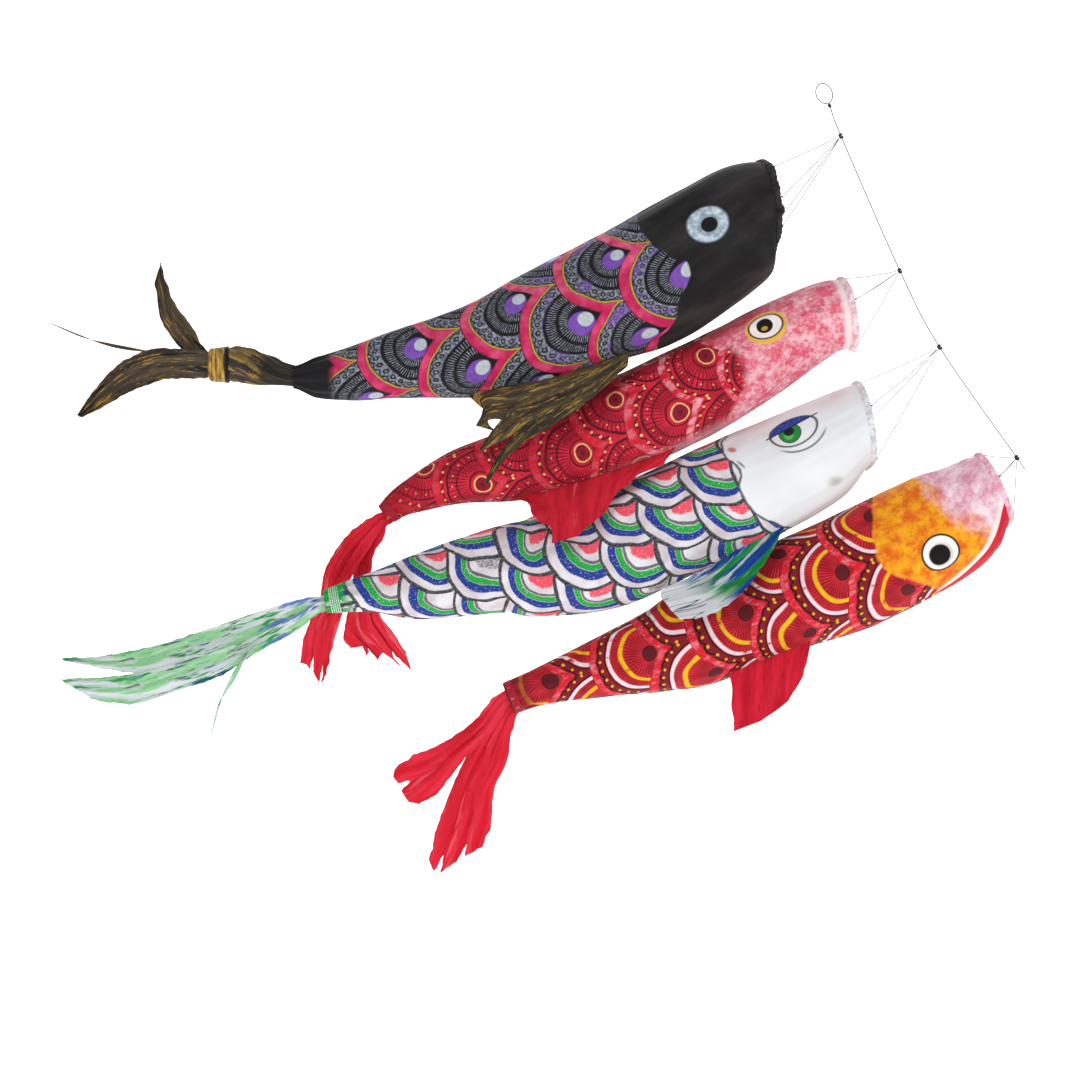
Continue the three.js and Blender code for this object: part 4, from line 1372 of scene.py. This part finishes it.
# ======================================================================================
# The black carp's stalk and its band
# ======================================================================================
def make_stalk(spec, origin, material, tie_material):
    stalk = Spine(spec["stalk"])
    rows = []
    for t in np.linspace(0, 1, STALK_GRID[0]):
        centre, up, near = stalk.ring(t)
        centre = centre + np.array([9.0, 0.0, -1.0]) * (1 - smoothstep(t, 0.0, 0.12))
        rows.append((t, stalk.half(t) * (0.9 + 0.1 * smoothstep(t, 0.0, 0.2)), centre, up, near))

    def place(i, angle):
        t, half, centre, up, near = rows[i]
        twist = angle + 1.6 * t
        fold = 1.5 * math.sin(7 * twist + 1.2 * ripple(t * 4, 1.0, 2.0))
        fold += 0.8 * ripple(t * 9, 2.2 * math.cos(twist), 2.2 * math.sin(twist))
        reach = half - 0.8 + fold * (1 - 0.7 * smoothstep(t, 0.72, 0.8))
        return origin + (centre + up * (reach * math.cos(angle)) + near * (reach * math.sin(angle))) * MM

    def pattern(i, angle):
        t = rows[i][0]
        return t * 78 * MM, (angle + 1.6 * t) * 15 * MM

    maps = {PATTERN_MAP: pattern}
    obj = ring_mesh("black_gathered_stalk", STALK_GRID, place, maps, material, capped=True)
    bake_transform(obj)
    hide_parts("black_tail_stalk")
    make_band(stalk, spec["tie"], origin, tie_material)


def make_band(stalk, span, origin, material):
    """The flat cloth band tied round the black carp's stalk."""
    last = BAND_GRID[0] - 1

    def place(i, angle):
        t = span[0] + (span[1] - span[0]) * i / last
        rim = min(i, last - i) / 2
        dents = 0.35 * ripple(i / 5, 5 * math.cos(angle), 5 * math.sin(angle))
        return origin + stalk.place(t, stalk.half(t) + min(rim, 1.0) * 2.6 - 1.6 + dents, angle) * MM

    maps = {PATTERN_MAP: lambda i, angle: (i / last * 16 * MM, angle * 17 * MM)}
    obj = ring_mesh("black_band_tie", BAND_GRID, place, maps, material)
    thicken(obj, SLEEVE_CLOTH * MM)
    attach(obj, "black_tail")
    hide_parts("black_tail_tie")


# ======================================================================================
# Line, bridles, knots and loop
# ======================================================================================
def cord_curve(name, points, radius, material):
    data = bpy.data.curves.new(name, "CURVE")
    data.dimensions = "3D"
    data.bevel_depth = radius * MM
    data.bevel_resolution = 3
    data.use_fill_caps = True
    spline = data.splines.new("POLY")
    spline.points.add(len(points) - 1)
    for handle, point in zip(spline.points, points):
        handle.co = (*point, 1.0)
    data.materials.append(material)
    obj = bpy.data.objects.new(name, data)
    bpy.context.scene.collection.objects.link(obj)
    return obj


def path_length(points):
    return float(lengths_along(points)[-1])


def make_line(material):
    first = LINE_LEAN * -(LOOP_RADIUS * LOOP_STRETCH * 2 + 5)
    stations = [first, *[joint_place(f"{carp}_turn") / MM for carp in CARPS], LINE_END]
    points = [catmull(stations, i / 60) * MM for i in range(61)]
    obj = cord_curve("line_cord", points, LINE_RADIUS, material)
    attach(obj, "line")
    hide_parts("main_line")
    tuple(points[0])
    path_length(points)
    return points


def make_bridle(carp, spec, spine, origin, material):
    centre, up, near = spine.ring(0)
    forward = np.cross(up, unit(near))
    for leg, angle in zip(("top", "near", "low", "far"), spec["feet"]):
        foot = spine.place(0, spine.half(0), math.radians(angle))
        foot = foot + forward * (HEM_RADIUS + BRIDLE_RADIUS + 0.4)
        start = unit(foot) * BRIDLE_START
        points = []
        for share in np.linspace(0, 1, 13):
            sag = np.array([0.0, 0.0, -BRIDLE_SAG]) * math.sin(math.pi * share)
            points.append(origin + (start + (foot - start) * share + sag) * MM)
        obj = cord_curve(f"{carp}_{leg}_leg", points, BRIDLE_RADIUS, material)
        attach(obj, f"{carp}_carp")
        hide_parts(f"{carp}_bridle_{leg}")
        path_length(points)
        make_stitch(carp, leg, origin + foot * MM, forward, material)


def make_stitch(carp, leg, place, forward, material):
    """The small knot that ties a leg to the hem."""
    path = []
    for i in range(40):
        turn = TAU * i / 13
        side = np.array([0.0, math.cos(turn), math.sin(turn)])
        path.append(place - forward * (1.4 - 0.07 * i) * MM + side * 0.75 * MM)
    obj = tube(f"{carp}_{leg}_stitch", path, STITCH_THREAD * MM, 6, material)
    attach(obj, f"{carp}_carp")


def make_knot(carp, origin, run, material):
    """The legs' ends wound round the line and pulled into a knot."""
    run = unit(run)
    side = np.cross(run, NEAR)
    turns = 6
    path = []
    for share in np.linspace(0, 1, turns * 20 + 1):
        turn = TAU * turns * share
        reach = 1.15 + 0.9 * math.sin(math.pi * share) ** 0.5 + 0.25 * math.sin(3.1 * turn / turns)
        height = 2.1 * math.cos(math.pi * share) + 0.3 * math.sin(turn * 0.5)
        path.append(origin + (run * height + (side * math.cos(turn) + NEAR * math.sin(turn)) * reach) * MM)
    obj = tube(f"{carp}_wound_knot", path, KNOT_THREAD * MM, 7, material)
    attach(obj, f"{carp}_knot")
    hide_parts(f"{carp}_bridle_knot")


def make_loop(material):
    height = LOOP_RADIUS * LOOP_STRETCH
    across = np.cross(LINE_LEAN, NEAR)
    path = []
    for turn in np.linspace(0, TAU, 73):
        along = LINE_LEAN * (height * (1 + math.cos(turn)))
        path.append((across * (LOOP_RADIUS * math.sin(turn)) - along) * MM)
    loop = tube("loop_cord", path, LINE_RADIUS * MM, 8, material)
    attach(loop, "line")
    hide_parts("hanging_loop")
    coils = []
    for i in range(81):
        turn = TAU * i / 20
        side = across * math.cos(turn) + NEAR * math.sin(turn)
        coils.append((LINE_LEAN * (1.7 - 3.4 * i / 80 - height * 2 - 2.8) + side * 1.25) * MM)
    knot = tube("loop_knot", coils, KNOT_THREAD * MM, 8, material)
    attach(knot, "line")
    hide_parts("hanging_knot")


# ======================================================================================
# Stage, light and camera
# ======================================================================================
def make_camera():
    data = bpy.data.cameras.new("camera")
    data.lens = LENS
    data.sensor_width = SENSOR_WIDTH
    camera = bpy.data.objects.new("camera", data)
    camera.location = CAMERA_PLACE
    camera.rotation_euler = (math.pi / 2, 0, 0)
    bpy.context.scene.collection.objects.link(camera)
    bpy.context.scene.camera = camera


def make_backdrop():
    """A pale floor that sweeps up behind."""
    sweep = [
        (3.4 + BACKDROP_SWEEP * math.sin(a), -0.4 - BACKDROP_SWEEP * math.cos(a))
        for a in np.linspace(0, math.pi / 2, 16)
    ]
    profile = [(-6.0, -1.6), (3.4, -1.6), *sweep, (4.6, 3.5)]
    points = [(x, y, z) for y, z in profile for x in (-6.0, 6.0)]
    paint = Paint("studio_white")
    surface = paint.node("ShaderNodeBsdfDiffuse")
    surface.inputs["Color"].default_value = (0.9, 0.9, 0.9, 1.0)
    glow = paint.node("ShaderNodeEmission")
    glow.inputs["Strength"].default_value = BACKDROP_GLOW
    both = paint.node("ShaderNodeAddShader")
    out = paint.node("ShaderNodeOutputMaterial")
    paint.tree.links.new(surface.outputs[0], both.inputs[0])
    paint.tree.links.new(glow.outputs[0], both.inputs[1])
    paint.tree.links.new(both.outputs[0], out.inputs["Surface"])
    obj = new_mesh("backdrop", points, grid_faces(len(profile), 2), paint.material)


def make_light(name, place, size, power):
    data = bpy.data.lights.new(name, "AREA")
    data.size = size
    data.energy = power
    light = bpy.data.objects.new(name, data)
    light.location = place
    light.rotation_mode = "QUATERNION"
    light.rotation_quaternion = (Vector(LIGHT_AIM) - Vector(place)).to_track_quat("-Z", "Y")
    bpy.context.scene.collection.objects.link(light)


def make_lights():
    world = bpy.data.worlds.new("studio")
    world.use_nodes = True
    sky = world.node_tree.nodes["Background"].inputs
    sky["Color"].default_value = (1.0, 1.0, 1.0, 1.0)
    sky["Strength"].default_value = WORLD_LIGHT
    bpy.context.scene.world = world
    make_light("key", (-1.6, -2.6, 1.6), 1.6, KEY_POWER)
    make_light("fill", (1.8, -2.4, 0.4), 2.0, FILL_POWER)
    make_light("back", (-0.2, 1.6, 1.4), 1.6, BACK_POWER)


# ======================================================================================
# The whole streamer
# ======================================================================================
def paint_node(name, material):
    node = frame["nodes"][name]
    for slot in node.material_slots:
        slot.material = material


def build():
    line_thread = thread_material("line_thread", "1E1E20", "4A4A4E")
    bridle_thread = thread_material("bridle_thread_grey", "242428", "505056", 1.4)
    ties = {
        "black": band_material(),
        "pink": thread_material("tie_pink", "6A0A1C", "C8203C", 1.8),
        "white": thread_material("tie_white", "3CA85C", "F0F2F2", 1.8),
        "red": thread_material("tie_red", "7A0A18", "D82A40", 1.8),
    }
    wire = wire_material()
    sleeves = {
        "black": black_sleeve_material(),
        "pink": pink_sleeve_material(),
        "white": white_sleeve_material(),
        "red": red_sleeve_material(),
    }
    hems = {
        "black": hem_material("black", "3A3638", "141214", 0.6),
        "pink": hem_material("pink", "FBF0F2", "E2A2AE", 0.75),
        "white": hem_material("white", "F2F3F5", "BFC2C8", 0.75),
        "red": hem_material("red", "F8DCE6", "E08CA8", 0.75),
    }
    loose = fin_and_tail_materials()
    line = make_line(line_thread)
    make_loop(line_thread)
    for order, (carp, spec) in enumerate(CARPS.items()):
        origin = joint_place(f"{carp}_turn")
        spine = Spine(spec["spine"], spec["lean"], spec["swing"])
        middle = 12 * (order + 1)
        make_knot(carp, origin, line[middle + 1] - line[middle - 1], bridle_thread)
        make_bridle(carp, spec, spine, origin, bridle_thread)
        paint_node(f"{carp}_hoop", wire)
        make_sleeve(carp, spec, spine, origin, sleeves[carp])
        make_hem(carp, spec, spine, origin, hems[carp])
        make_fin(carp, spec, spine, origin, loose[f"{carp}_fin"])
        for name, lobe in spec["lobes"].items():
            make_lobe(carp, spec, name, lobe, origin, loose[f"{carp}_tail"])
        if "strand" in spec:
            make_strand(carp, spec, origin, loose[f"{carp}_tail"])
        if carp == "black":
            make_stalk(spec, origin, loose["black_stalk"], ties["black"])
        else:
            make_tie(carp, spec, spine, origin, ties[carp])


with open("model.json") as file:
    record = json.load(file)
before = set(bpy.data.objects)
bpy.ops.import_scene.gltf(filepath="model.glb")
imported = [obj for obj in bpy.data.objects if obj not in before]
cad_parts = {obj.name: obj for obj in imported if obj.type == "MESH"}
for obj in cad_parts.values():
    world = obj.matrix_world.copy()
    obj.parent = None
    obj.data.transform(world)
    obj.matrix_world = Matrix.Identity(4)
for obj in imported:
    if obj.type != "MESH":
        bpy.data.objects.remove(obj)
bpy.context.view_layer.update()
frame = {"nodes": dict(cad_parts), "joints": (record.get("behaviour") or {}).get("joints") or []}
bpy.context.scene.view_settings.view_transform = "Standard"
make_camera()
make_backdrop()
make_lights()
build()
